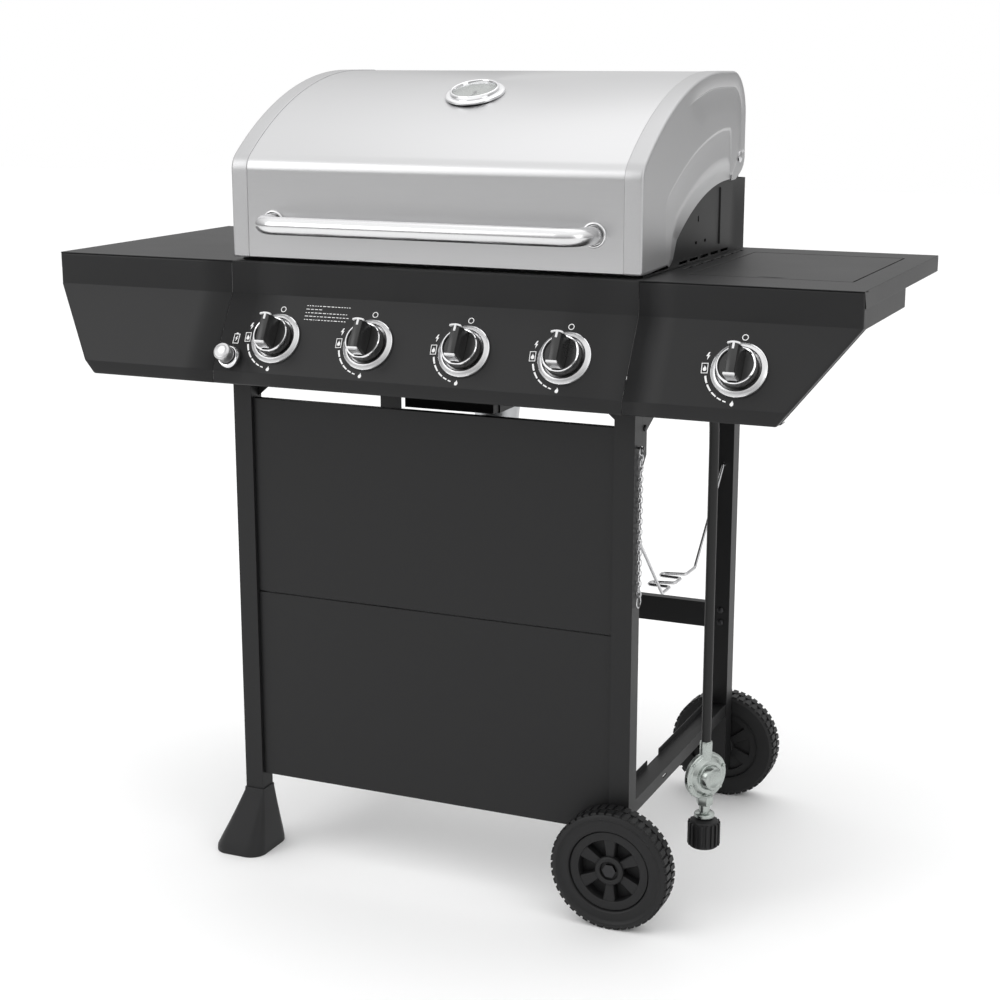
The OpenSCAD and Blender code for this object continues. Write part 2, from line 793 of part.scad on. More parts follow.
module shelf_left() {
    color([0.35, 0.35, 0.35]) at_panel() mirror([1, 0, 0]) shelf();
}

module shelf_right() {
    g = cover_gap;
    color([0.35, 0.35, 0.35]) at_panel() difference() {
        shelf();
        box([cover_x0 - g, cover_back - g, worktop_h - 3], [cover_x1 + g, cover_y1 + g + 1.5, worktop_h + 1]);
    }
}

module side_burner_well() {
    o = cover_gap + 3;
    top = worktop_h - sheet;
    color([0.15, 0.15, 0.15]) at_panel() difference() {
        box([cover_x0 - o, cover_back - o, well_bottom], [cover_x1 + o, cover_y1 + o, top]);
        box([cover_x0 - o + sheet, cover_back - o + sheet, well_bottom + sheet],
            [cover_x1 + o - sheet, cover_y1 + o - sheet, top + 1]);
        translate([side_knob_x, cover_back + cover_d / 2, well_bottom]) cylinder(h = 10, r = 14, center = true);
        translate([side_knob_x, cover_pin_y, cover_pin_z]) rotate([0, 90, 0])
            cylinder(h = cover_w + 40, r = cover_pin_r + run, center = true);
    }
}

module side_burner() {
    y = cover_back + cover_d / 2;
    color("silver") at_panel() difference() {
        union() {
            translate([side_knob_x, y, well_bottom + sheet]) cylinder(h = 10, r = 22);
            translate([side_knob_x, y, well_bottom + sheet + 10]) cylinder(h = 16, r = 38);
            translate([side_knob_x, y, jet_z]) cylinder(h = well_bottom + sheet + 10 - jet_z, r = 13.7);
            translate([side_knob_x, 18, jet_z]) rotate([-90, 0, 0]) cylinder(h = y - 18, r = 12);
        }
        translate([side_knob_x, 17, jet_z]) rotate([-90, 0, 0]) cylinder(h = y - 17, r = 10.8);
        translate([side_knob_x, y, jet_z + 10]) cylinder(h = well_bottom + 20 - jet_z, r = 10);
    }
}

module side_burner_grate() {
    y = cover_back + cover_d / 2;
    z = worktop_h - 24;
    color([0.12, 0.12, 0.12]) at_panel() translate([side_knob_x, y, z]) {
        difference() {
            box([-92, -92, 0], [92, 92, 6]);
            box([-84, -84, -1], [84, 84, 7]);
        }
        for (a = [0:90:270]) rotate([0, 0, a]) {
            box([18, -3, 0], [86, 3, 6]);
            box([84, 84, well_bottom + sheet - z], [92, 92, 1]);
        }
    }
}

// The side burner's flush cover, with a finger hole and its two hinge pins
module side_burner_cover() {
    color([0.35, 0.35, 0.35]) at_panel() {
        difference() {
            box([cover_x0, cover_back, worktop_h - cover_skirt], [cover_x1, cover_y1, worktop_h]);
            box([cover_x0 + sheet, cover_back + sheet, worktop_h - cover_skirt - 1],
                [cover_x1 - sheet, cover_y1 - sheet, worktop_h - sheet]);
            intersection() {
                translate([side_knob_x, cover_back + 52, worktop_h]) cylinder(h = 6, r = 46, center = true);
                box([cover_x0, cover_back + 3, worktop_h - 3], [cover_x1, cover_back + 11, worktop_h + 1]);
            }
        }
        for (x = [cover_x0 - 6, cover_x1]) {
            translate([x, cover_pin_y, cover_pin_z]) rotate([0, 90, 0]) cylinder(h = 6, r = cover_pin_r);
        }
    }
}

// Gas train

module manifold() {
    color("silver") at_panel() difference() {
        union() {
            translate([-box_half, pipe_y, pipe_z]) rotate([0, 90, 0]) cylinder(h = box_half + side_knob_x + 24, r = pipe_r);
            rod([hose_x, pipe_y, hose_exit[2]], [hose_x, hose_exit[1], hose_exit[2]], 7);
            rod([hose_x, 2, hose_exit[2]], [hose_x, 9, hose_exit[2]], 10);
        }
        translate([-box_half + 3, pipe_y, pipe_z]) rotate([0, 90, 0])
            cylinder(h = box_half + side_knob_x + 18, r = pipe_r - 2);
    }
}

// One valve: its block, its foot on the manifold and its level jet
module valve(x) {
    difference() {
        union() {
            on_facet(x, knob_down) box([-12, -11, -44], [12, 11, -sheet - pass]);
            on_facet(x, knob_down) translate([0, -pipe_under + 5, -pipe_behind]) rotate([-90, 0, 0]) cylinder(h = 10, r = 6);
            rod([x, -10, jet_z], [x, 20, jet_z], 5);
        }
        translate([x - 20, pipe_y, pipe_z]) rotate([0, 90, 0]) cylinder(h = 40, r = pipe_r);
        on_facet(x, knob_down) translate([0, 0, -32]) cylinder(h = 40, r = stem_r + pass);
    }
}

module valves() {
    color("goldenrod") at_panel() for (x = all_knob_x) valve(x);
}

module bezel() {
    rotate_extrude() polygon([
        [stem_r + 2, 0], [bezel_r, 0], [bezel_r, 2], [bezel_r - 1, 3.5], [bezel_r - 6, 6.5], [bezel_r - 7.5, 6.5],
        [bezel_r - 8.5, 1.5], [stem_r + 2, 1.5]
    ]);
}

module bezels() {
    color("gainsboro") at_panel() {
        for (x = all_knob_x) on_facet(x, knob_down) bezel();
        on_facet(-igniter_x, igniter_down) rotate_extrude() polygon([
            [igniter_r + 0.5, 0], [igniter_r + 4.5, 0], [igniter_r + 4.5, 3], [igniter_r + 2, 8], [igniter_r + 0.5, 8]
        ]);
    }
}

module igniter_box() {
    color([0.1, 0.1, 0.1]) at_panel() on_facet(-igniter_x, igniter_down) difference() {
        translate([0, 0, -46]) cylinder(h = 46 - sheet, r = 11);
        translate([0, 0, -30]) cylinder(h = 40, r = stem_r + pass);
    }
}

module igniter_button() {
    color("silver") at_panel() on_facet(-igniter_x, igniter_down) {
        translate([0, 0, -24]) cylinder(h = 34, r = stem_r);
        translate([0, 0, 10]) rotate_extrude() polygon([
            [0, 0], [igniter_r, 0], [igniter_r, 14], [igniter_r - 2, 17], [igniter_r - 4, 17], [0, 15.5]
        ]);
    }
}

// The stem of a knob, which slides in when the knob is pushed
module stem(i) {
    color("silver") at_panel() on_facet(all_knob_x[i], knob_down)
        translate([0, 0, -25]) cylinder(h = 25 + knob_top - 20, r = stem_r);
}

module knob(i) {
    skirt = 8;
    deck = knob_top - 25;
    color([0.08, 0.08, 0.08]) at_panel() on_facet(all_knob_x[i], knob_down) difference() {
        union() {
            translate([0, 0, skirt]) cylinder(h = deck - skirt, r1 = knob_r + 1, r2 = knob_r);
            intersection() {
                translate([0, 0, deck - 1]) cylinder(h = knob_top - deck + 1, r = grip_half + 1);
                box([-grip_w / 2, -grip_half, deck - 1], [grip_w / 2, grip_half, knob_top]);
            }
        }
        translate([0, 0, skirt - 1]) cylinder(h = knob_top - 20 + 1 - skirt + 1, r = stem_r + run);
    }
}

// Lid

module lid_skin() {
    half = leg_out - cap_w;
    color("silver") at_panel() difference() {
        along_x(-half, half) polygon(concat(
            lid_line(0, worktop_h + lid_rear_edge), reversed(lid_line(sheet, worktop_h + lid_rear_edge))
        ));
        translate([0, gauge_y, gauge_z]) rotate([gauge_tilt, 0, 0]) cylinder(h = 20, r = 12, center = true);
    }
}

// An end cap: a rim that carries on the lid's skin, and an end plate cut out over the shelf
module lid_end_cap() {
    difference() {
        union() {
            along_x(cap_in, leg_out) polygon(concat(
                lid_line(0, rear_z - 20), reversed(lid_line(2, rear_z - 20))
            ));
            along_x(plate_in, leg_out) polygon(concat(
                lid_line(0, worktop_h + 142), [[lid_back - 8, worktop_h + lid_rear_edge], [426, worktop_h + 112]],
                end_edge(0)
            ));
        }
        translate([leg_out, pivot_y, pivot_z]) rotate([0, 90, 0]) cylinder(h = 20, r = pivot_r + run, center = true);
    }
}

module lid_end_caps() {
    color("gray") at_panel() both_sides() lid_end_cap();
}

module lid_brackets() {
    color([0.15, 0.15, 0.15]) at_panel() both_sides() difference() {
        along_x(wall_half - 2 * sheet - 0.6, wall_half - sheet) polygon([
            [pivot_y - 22, worktop_h + 60], [pivot_y + 30, worktop_h + 60], [pivot_y + 17, pivot_z - 33],
            [pivot_y + 13, pivot_z + 8], [pivot_y + 5, pivot_z + 14], [pivot_y - 5, pivot_z + 14],
            [pivot_y - 13, pivot_z + 8]
        ]);
        translate([wall_half, pivot_y, pivot_z]) rotate([0, 90, 0]) cylinder(h = 20, r = pivot_r - 1, center = true);
    }
}

module lid_pivot_bolts() {
    inner = wall_half - 2 * sheet - 0.6;
    color("silver") at_panel() both_sides() translate([0, pivot_y, pivot_z]) rotate([0, 90, 0]) {
        translate([0, 0, inner - 4]) cylinder(h = 4 + wall_half - sheet - inner, r = pivot_r - 1);
        translate([0, 0, wall_half - sheet]) cylinder(h = leg_out + pass - wall_half + sheet, r = pivot_r);
        translate([0, 0, leg_out + pass]) bolt_head(pivot_r + 3.5, 3.5);
    }
}

module lid_handle() {
    x = handle_span / 2;
    straight = x - handle_bend;
    y = lid_front - handle_reach;
    z = worktop_h + handle_up;
    color("silver") at_panel() {
        translate([-straight, y, z]) rotate([0, 90, 0]) cylinder(h = 2 * straight, r = handle_r);
        both_sides() {
            translate([straight, y + handle_bend, z]) rotate([0, 0, -90])
                rotate_extrude(angle = 90) translate([handle_bend, 0]) circle(handle_r);
            translate([x, lid_front - 4, z]) rotate([90, 0, 0])
                cylinder(h = handle_reach - handle_bend - 4, r = handle_r);
            translate([x, lid_front, z]) rotate([90, 0, 0]) cylinder(h = 4, r = handle_r + 5);
        }
    }
}

module at_gauge() {
    at_panel() translate([0, gauge_y, gauge_z]) rotate([gauge_tilt, 0, 0]) children();
}

module gauge_case() {
    color("gainsboro") {
        at_gauge() {
            rotate_extrude() polygon([
                [2, 0], [gauge_r, 0], [gauge_r, 4], [gauge_r - 5, 9], [gauge_r - 10, 10], [gauge_r - 12, 7],
                [gauge_r - 12, 2], [2, 2]
            ]);
            translate([0, 0, -60]) cylinder(h = 60, r = 5);
        }
    }
}

module gauge_glass() {
    color("lightgray") at_gauge() translate([0, 0, 6]) cylinder(h = 1, r = gauge_r - 12);
}

module gauge_needle() {
    color("black") at_gauge() {
        translate([0, 0, 3]) cylinder(h = 1.5, r = 2.5);
        box([-0.8, -24, 3.2], [0.8, 6, 4.2]);
        translate([0, 0, 0.5]) cylinder(h = 3, r = 1.9);
    }
}

// Loose and hanging pieces

module tank_wire() {
    x = leg_mid;
    tip = leg_mid - 34;
    a = wire_mid - 76;
    b = wire_mid - 39;
    c = wire_mid + 11;
    color("silver") at_panel() wire([
        [x, leg_back - 6, wire_top], [x, leg_back + 6, wire_top], [x, a, wire_low], [x, b, wire_low],
        [tip, b, wire_low], [tip, b + 15, wire_low], [x, b + 22, wire_low], [x, c, wire_low],
        [tip, c + 2, wire_low], [tip, c + 16, wire_low], [x, c + 24, wire_low], [x, wire_mid + 76, wire_low],
        [x, rear_leg_face - 6, wire_top], [x, rear_leg_face + 6, wire_top]
    ], wire_r);
}

module match_chain() {
    color("silver") at_panel() {
        translate([chain_x, chain_y, chain_top]) rotate([0, 90, 0]) rotate_extrude() translate([ring_r, 0]) circle(ring_wire);
        rod([chain_x, chain_y, chain_top - ring_r], [chain_x, chain_y, chain_top - chain_len], 2);
        translate([chain_x, chain_y, chain_top - chain_len - 8]) rotate([0, 90, 0])
            rotate_extrude() translate([8, 0]) circle(1);
    }
}

// A ring of the hose's surface about route point i, square to the route
function ring_points(i, sides) =
    let (
        before = hose_route[max(i - 1, 0)],
        after = hose_route[min(i + 1, len(hose_route) - 1)],
        along = (after - before) / norm(after - before),
        up = cross(along, [1, 0, 0])
    ) [for (k = [0:sides - 1]) hose_route[i] + hose_r * (cos(k * 360 / sides) * [1, 0, 0] + sin(k * 360 / sides) * up)];

module hose() {
    sides = 12;
    rings = len(hose_route);
    points = [for (i = [0:rings - 1]) each ring_points(i, sides)];
    walls = [for (i = [0:rings - 2]) for (k = [0:sides - 1]) let (n = (k + 1) % sides)
        [i * sides + k, i * sides + n, (i + 1) * sides + n, (i + 1) * sides + k]];
    color([0.1, 0.1, 0.1]) at_panel()
        polyhedron(points, concat([[for (k = [sides - 1:-1:0]) k]], walls, [[for (k = [0:sides - 1]) (rings - 1) * sides + k]]));
}

// The regulator, hung under the hose: ferrule, round body facing out to the right, and its outlet
regulator_z = hose_end[2] - 43;

module regulator() {
    color("silver") at_panel() translate([hose_end[0], hose_end[1], 0]) difference() {
        union() {
            translate([0, 0, hose_end[2] - 8]) cylinder(h = 8, r = hose_r + 1);
            translate([0, 0, hose_end[2] - 22]) cylinder(h = 14, r = hose_r);
            translate([0, 0, regulator_z]) rotate([90, 0, regulator_turn]) {
                translate([0, 0, -10]) cylinder(h = 8, r1 = regulator_r - 12, r2 = regulator_r - 3);
                translate([0, 0, -4]) cylinder(h = 8, r = regulator_r);
                translate([0, 0, 4]) cylinder(h = 6, r1 = regulator_r - 7, r2 = regulator_r - 11);
                translate([0, 0, 10]) cylinder(h = 12, r1 = 17, r2 = 13);
            }
            translate([0, 0, regulator_z - 45]) cylinder(h = 18, r = 9, $fn = 6);
            translate([0, 0, regulator_z - 60]) cylinder(h = 16, r = 7);
            translate([0, 0, regulator_z - 62]) cylinder(h = 5, r = 14.5);
            translate([0, 0, regulator_z - 84]) cylinder(h = 24, r = 8);
        }
    }
}

module coupling_nut() {
    top = regulator_z - 62 - pass;
    color([0.06, 0.06, 0.06]) at_panel() translate([hose_end[0], hose_end[1], top - 42]) difference() {
        union() {
            cylinder(h = 42, r = nut_r - 1);
            for (i = [0:15]) rotate([0, 0, i * 22.5]) box([nut_r - 4, -2, 4], [nut_r, 2, 38]);
        }
        translate([0, 0, 12]) cylinder(h = 60, r = 8 + run);
        translate([0, 0, -1]) cylinder(h = 20, r = nut_r - 6);
    }
}

leg_front_left();
leg_front_right();
leg_rear_left();
leg_rear_right();
leg_brackets();
rear_crossbar();
tank_beam();
left_beam();
front_panel_upper();
front_panel_lower();
foot_caps();
cart_bolts();
wheel_front();
wheel_rear();
firebox_walls();
firebox_sides();
firebox_funnel();
control_panel();
fascia_left();
fascia_right();
shelf_left();
shelf_right();
side_burner_well();
side_burner();
side_burner_grate();
side_burner_cover();
manifold();
valves();
bezels();
igniter_box();
igniter_button();
burners();
flame_tamers();
cooking_grates();
warming_rack();
grease_tray();
grease_cup();
lid_brackets();
lid_pivot_bolts();
lid_skin();
lid_end_caps();
lid_handle();
gauge_case();
gauge_glass();
gauge_needle();
tank_wire();
match_chain();
hose();
regulator();
coupling_nut();
stem(0);  // stem_1
stem(1);  // stem_2
stem(2);  // stem_3
stem(3);  // stem_4
stem(4);  // stem_5
knob(0);  // knob_1
knob(1);  // knob_2
knob(2);  // knob_3
knob(3);  // knob_4
knob(4);  // knob_5
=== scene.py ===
# %% [markdown]
# This file finishes a gas barbecue on a steel cart. Its plain solids are already made and packed,
# and this script gives them the shapes and finishes that are seen: brushed steel, powder coat,
# moulded plastic, chrome. Each step below says what a piece is, how it could be made, and why
# this way was taken.

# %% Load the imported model
import json
import math
import random

import bmesh
import bpy
from mathutils import Matrix, Vector

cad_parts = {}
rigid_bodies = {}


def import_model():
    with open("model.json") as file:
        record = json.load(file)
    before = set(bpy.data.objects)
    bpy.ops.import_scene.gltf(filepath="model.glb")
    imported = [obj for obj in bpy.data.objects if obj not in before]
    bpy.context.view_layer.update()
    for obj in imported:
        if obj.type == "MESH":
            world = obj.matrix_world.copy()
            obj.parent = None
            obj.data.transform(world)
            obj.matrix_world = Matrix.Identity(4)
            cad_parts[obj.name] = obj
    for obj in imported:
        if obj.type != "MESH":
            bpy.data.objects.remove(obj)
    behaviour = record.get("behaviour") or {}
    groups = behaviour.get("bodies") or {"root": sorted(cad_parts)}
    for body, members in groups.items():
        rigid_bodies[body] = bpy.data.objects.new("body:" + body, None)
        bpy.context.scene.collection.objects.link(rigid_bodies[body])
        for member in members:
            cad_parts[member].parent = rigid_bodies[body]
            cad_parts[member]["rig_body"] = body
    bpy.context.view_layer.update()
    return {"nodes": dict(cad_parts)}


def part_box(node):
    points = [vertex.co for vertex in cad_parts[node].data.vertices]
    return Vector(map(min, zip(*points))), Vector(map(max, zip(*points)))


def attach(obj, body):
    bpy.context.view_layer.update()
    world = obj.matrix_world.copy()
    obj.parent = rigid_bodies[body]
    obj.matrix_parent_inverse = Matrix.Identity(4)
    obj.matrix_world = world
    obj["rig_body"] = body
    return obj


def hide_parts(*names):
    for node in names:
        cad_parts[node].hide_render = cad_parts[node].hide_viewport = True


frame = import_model()
nodes = frame["nodes"]

# %% [markdown]
# Every size below is in millimetres, counted from two things a maker would measure from: the
# control panel's upright upper face and the worktop. place() turns such a point into metres in
# the model's own frame, and mm() only turns a local step into metres.

# %% Measure from the panel's face and the worktop
MM = 0.001
WORKTOP_UP = 893  # above the ground
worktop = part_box("shelf_left")[1].z
panel_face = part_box("control_panel")[1].y - 26 * MM


def place(x, y, z):
    return Vector((x * MM, panel_face + y * MM, worktop + z * MM))


def mm(x, y, z):
    return Vector((x * MM, y * MM, z * MM))


print("worktop", round(worktop, 4), "panel face", round(panel_face, 4))

# %% [markdown]
# The camera comes first, because the hanging hose has to be checked against its view. It stands
# in front and to the right, above the worktop, with a long lens, so the upright edges lean only
# a little.

# %% Set up the camera
camera = bpy.data.objects.new("camera", bpy.data.cameras.new("camera"))
bpy.context.scene.collection.objects.link(camera)
camera.data.lens = 67.54
camera.data.sensor_width = 36
camera.data.clip_start = 0.05
camera.location = (1.1124, -2.5112, 1.1773)
camera.rotation_euler = (math.radians(90 - 13.368), 0, math.radians(23.635))
bpy.context.scene.camera = camera
print("camera", tuple(round(v, 3) for v in camera.location))

# %% [markdown]
# Shader maths reads like ordinary sums here. A Link wraps one socket, and adding or multiplying
# Links adds Math nodes. A Finish is one material, and its node() method adds any other node.
# Only what varies over a surface is linked; a plain number is set on the shader's socket.

# %% A small language for finishes
class Link:
    def __init__(self, finish, socket):
        self.finish = finish
        self.socket = socket

    def sum(self, operation, other):
        return self.finish.node("ShaderNodeMath", {"operation": operation}, {0: self, 1: other})

    def __add__(self, other):
        return self.sum("ADD", other)

    def __mul__(self, other):
        return self.sum("MULTIPLY", other)


class Finish:
    def __init__(self, name, **plain):
        self.material = bpy.data.materials.new(name)
        self.material.use_nodes = True
        self.tree = self.material.node_tree
        self.shader = self.tree.nodes["Principled BSDF"]
        for socket, value in plain.items():
            self.shader.inputs[socket.replace("_", " ").title().replace("Ior",
                    "IOR")].default_value = value

    def node(self, kind, settings=None, sockets=None, out=0):
        made = self.tree.nodes.new(kind)
        for name, value in (settings or {}).items():
            setattr(made, name, value)
        for name, value in (sockets or {}).items():
            if isinstance(value, Link):
                self.tree.links.new(value.socket, made.inputs[name])
            else:
                made.inputs[name].default_value = value
        return Link(self, made.outputs[out])

    def feed(self, socket, link):
        self.tree.links.new(link.socket, self.shader.inputs[socket])

    def where(self, stretch=(1, 1, 1)):
        spot = self.node("ShaderNodeTexCoord", out=3)
        return self.node("ShaderNodeMapping", {}, {"Vector": spot, "Scale": stretch})

    def noise(self, scale, detail=2.0, stretch=(1, 1, 1), roughness=0.5):
        return self.node("ShaderNodeTexNoise", {}, {
            "Vector": self.where(stretch), "Scale": scale, "Detail": detail,
            "Roughness": roughness})

    def between(self, low, high, amount):
        return self.node("ShaderNodeMapRange", {"clamp": True}, {
            "Value": amount, "From Min": 0.0, "From Max": 1.0, "To Min": low, "To Max": high})

    def blend(self, dark, light, amount):
        mix = self.tree.nodes.new("ShaderNodeMix")
        mix.data_type = "RGBA"
        mix.inputs[6].default_value = (*dark, 1)
        mix.inputs[7].default_value = (*light, 1)
        self.tree.links.new(amount.socket, mix.inputs[0])
        return Link(self, mix.outputs[2])

    def bump(self, height, distance, strength=1.0):
        self.feed("Normal", self.node("ShaderNodeBump", {}, {
            "Height": height, "Distance": distance, "Strength": strength}))


print("finish kit ready")

# %% [markdown]
# Powder coat is paint baked on as dust: charcoal, satin, with a fine orange peel and tiny bright
# and dark specks. A flat grey would look like card, so the roughness wanders a little and a very
# small bump breaks up the highlights.

# %% Painted steel
def powder_coat(name, dark, light, rough, shine=0.3):
    coat = Finish(name, roughness=rough, specular_ior_level=shine)
    grain = coat.noise(900.0, 2.0)
    drift = coat.noise(7.0, 3.0)
    coat.feed("Base Color", coat.blend(dark, light, grain * 0.6 + drift * 0.4))
    coat.feed("Roughness", coat.between(rough - 0.06, rough + 0.07, drift * 0.6 + grain * 0.4))
    coat.bump(grain, 0.00012, 0.35)
    return coat.material


charcoal = powder_coat("charcoal powder coat", (0.0065, 0.0065, 0.0069), (0.0115, 0.0115, 0.0119),
                       0.45)
enamel = powder_coat("dark satin enamel", (0.005, 0.005, 0.0052), (0.009, 0.009, 0.0093), 0.42,
                     0.2)
silver_paint = powder_coat("silver paint", (0.42, 0.42, 0.425), (0.5, 0.5, 0.505), 0.36, 0.5)
silver_paint.node_tree.nodes["Principled BSDF"].inputs["Metallic"].default_value = 0.75
print("painted finishes: charcoal, enamel, silver")

# %% [markdown]
# Brushed steel is bright metal scratched one way. A noise stretched a hundred times along the
# brushing gives the streaks; it shifts the roughness and colour a little, and the bump is so
# shallow that it only softens the highlight.

# %% Bare metals
def brushed(name, colour, rough, stretch, depth=0.000003):
    metal = Finish(name, metallic=1.0, roughness=rough, anisotropic=0.5)
    streaks = metal.noise(1100.0, 3.0, stretch, 0.6)
    cloud = metal.noise(3.0, 2.0)
    pale = tuple(min(1.0, c * 1.03) for c in colour)
    metal.feed("Base Color", metal.blend(tuple(c * 0.97 for c in colour), pale,
                                         streaks * 0.85 + cloud * 0.15))
    metal.feed("Roughness", metal.between(rough - 0.03, rough + 0.04, streaks))
    metal.bump(streaks, depth, 0.25)
    return metal.material


def smooth_metal(name, colour, rough, mottle=0.04, scale=60.0):
    metal = Finish(name, metallic=1.0, roughness=rough)
    cloud = metal.noise(scale, 3.0)
    metal.feed("Base Color", metal.blend(tuple(c * 0.93 for c in colour), colour, cloud))
    metal.feed("Roughness", metal.between(rough, rough + mottle, cloud))
    return metal.material


stainless = brushed("brushed stainless", (0.55, 0.55, 0.555), 0.33, (0.02, 1, 1))
handle_steel = brushed("brushed tube", (0.66, 0.66, 0.665), 0.22, (0.03, 1, 1))
chrome = smooth_metal("bright chrome", (0.82, 0.82, 0.83), 0.07)
satin_ring = smooth_metal("satin nickel", (0.62, 0.62, 0.625), 0.28, 0.08, 400.0)
zinc = smooth_metal("cast zinc", (0.40, 0.43, 0.41), 0.22, 0.12, 90.0)
plated = smooth_metal("zinc plate", (0.62, 0.62, 0.63), 0.2, 0.1, 300.0)
brass = smooth_metal("machined brass", (0.62, 0.47, 0.22), 0.28, 0.1, 200.0)
black_zinc = smooth_metal("black zinc", (0.05, 0.05, 0.052), 0.32, 0.1, 300.0)
galvanised = smooth_metal("galvanised sheet", (0.5, 0.51, 0.52), 0.34, 0.16, 40.0)
print("bare metals ready")

# %% [markdown]
# Moulded plastics and rubber are dark and differ mostly in how they shine: the knobs are glossy,
# the wheels and feet are matt with a fine moulded grain, the hose is soft rubber.

# %% Plastics, rubber, iron, glass and print
def moulded(name, colour, rough, grain_scale, depth, shine=0.5):
    plastic = Finish(name, roughness=rough, specular_ior_level=shine)
    grain = plastic.noise(grain_scale, 3.0)
    wear = plastic.noise(18.0, 3.0)
    light = tuple(c * 1.35 + 0.002 for c in colour)
    plastic.feed("Base Color", plastic.blend(colour, light, wear * 0.6 + grain * 0.4))
    plastic.feed("Roughness", plastic.between(rough - 0.06, rough + 0.08,
                                              wear * 0.5 + grain * 0.5))
    plastic.bump(grain, depth, 0.4)
    return plastic.material


black_plastic = moulded("knob plastic", (0.013, 0.013, 0.013), 0.28, 500.0, 0.00003)
wheel_plastic = moulded("wheel plastic", (0.0075, 0.0075, 0.0079), 0.5, 700.0, 0.00012, 0.3)
foot_plastic = moulded("foot plastic", (0.0105, 0.0105, 0.011), 0.45, 700.0, 0.0001, 0.3)
hose_rubber = moulded("hose rubber", (0.0075, 0.0075, 0.0075), 0.46, 900.0, 0.00008, 0.3)
grate_iron = moulded("grate enamel", (0.012, 0.012, 0.012), 0.36, 300.0, 0.0003)
print_white = moulded("white print", (0.72, 0.72, 0.72), 0.5, 900.0, 0.00001)
dial_face = moulded("dial face", (0.17, 0.182, 0.165), 0.45, 300.0, 0.00001)
pointer_silver = moulded("pointer silver", (0.6, 0.6, 0.605), 0.3, 900.0, 0.00001)
glass = Finish("clear glass", base_color=(0.95, 0.97, 0.97, 1), roughness=0.03,
               transmission_weight=0.0)
glass.shader.inputs["Alpha"].default_value = 0.18
smudge = glass.noise(40.0, 3.0)
glass.feed("Roughness", glass.between(0.02, 0.09, smudge))
clear_glass = glass.material
print("plastics, rubber, iron, glass and print ready")

# %% [markdown]
# Every made piece ends the same way: a mesh whose place is in its points, outward faces, a
# finish, the body it moves with and the plain solids that it stands for.

# %% Finish a piece
def piece(name, bm, body, material, stands_for=(), smooth=35.0, keep_normals=False):
    if not keep_normals:
        bmesh.ops.recalc_face_normals(bm, faces=bm.faces)
    mesh = bpy.data.meshes.new(name)
    bm.to_mesh(mesh)
    bm.free()
    mesh.polygons.foreach_set("use_smooth", [True] * len(mesh.polygons))
    mesh.set_sharp_from_angle(angle=math.radians(smooth))
    made = bpy.data.objects.new(name, mesh)
    bpy.context.scene.collection.objects.link(made)
    mesh.materials.append(material)
    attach(made, body)
    if stands_for:
        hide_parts(*stands_for)
    return made


def bevel(made, width, segments=2, angle=35.0):
    soft = made.modifiers.new("soft edges", "BEVEL")
    soft.width = width * MM
    soft.segments = segments
    soft.limit_method = "ANGLE"
    soft.angle_limit = math.radians(angle)
    soft.harden_normals = True
    return made


def thicken(made, wall):
    shell = made.modifiers.new("wall", "SOLIDIFY")
    shell.thickness = wall * MM
    shell.offset = -1.0
    return made


def soften(node, material, width=0.5, segments=2):
    """A copy of a plain solid with its folds and edges rounded, standing for that solid."""
    bm = bmesh.new()
    bm.from_mesh(nodes[node].data)
    bmesh.ops.remove_doubles(bm, verts=bm.verts, dist=0.00002)
    bmesh.ops.dissolve_limit(bm, angle_limit=math.radians(0.6), verts=bm.verts, edges=bm.edges)
    made = piece(node + "_made", bm, nodes[node]["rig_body"], material, (node,),
                 keep_normals=True)
    return bevel(made, width, segments)


def paint(node, material):
    mesh = nodes[node].data
    mesh.materials.clear()
    mesh.materials.append(material)


print("piece(), bevel(), thicken(), soften() and paint() ready")

# %% [markdown]
# A tube is the commonest shape on this grill: hose, handle, wires and grate bars are all one
# circle carried along a line. tube() lays rings square to the line, turning each only as much
# as the line turns, so the tube doesn't twist. loft() skins any such rows of points.

# %% Carry a circle along a line
def rings_along(points, radius, sides):
    rings = []
    side = None
    for i, here in enumerate(points):
        before = points[max(i - 1, 0)]
        after = points[min(i + 1, len(points) - 1)]
        along = (after - before).normalized()
        if side is None:
            guess = Vector((1, 0, 0)) if abs(along.x) < 0.8 else Vector((0, 0, 1))
            side = along.cross(guess).normalized()
        side = (side - along * side.dot(along)).normalized()
        up = along.cross(side)
        size = radius(i / (len(points) - 1)) if callable(radius) else radius
        turn = [2 * math.pi * k / sides for k in range(sides)]
        rings.append([here + (side * math.cos(a) + up * math.sin(a)) * size * MM for a in turn])
    return rings


def loft(bm, rings):
    """Skins closed rings of points one after another and closes both ends."""
    rows = [[bm.verts.new(p) for p in ring] for ring in rings]
    for a, b in zip(rows, rows[1:]):
        for i in range(len(a)):
            n = (i + 1) % len(a)
            bm.faces.new((a[i], a[n], b[n], b[i]))
    bm.faces.new(rows[0][::-1])
    bm.faces.new(rows[-1])


def add_tube(bm, points, radius, sides=16):
    loft(bm, rings_along(points, radius, sides))


def smooth_line(corners, bend, steps=6):
    """Rounds the corners of a line of points, each with a bend of the given radius."""
    line = [corners[0]]
    for before, here, after in zip(corners, corners[1:], corners[2:]):
        back, on = before - here, after - here
        half = back.angle(on) / 2
        cut = min(bend * MM / max(math.tan(half), 0.05), back.length * 0.49, on.length * 0.49)
        start, end = here + back.normalized() * cut, here + on.normalized() * cut
        for i in range(steps + 1):
            t = i / steps
            line.append(start * (1 - t) ** 2 + here * 2 * t * (1 - t) + end * t * t)
    return line + [corners[-1]]


print("tube tools ready")
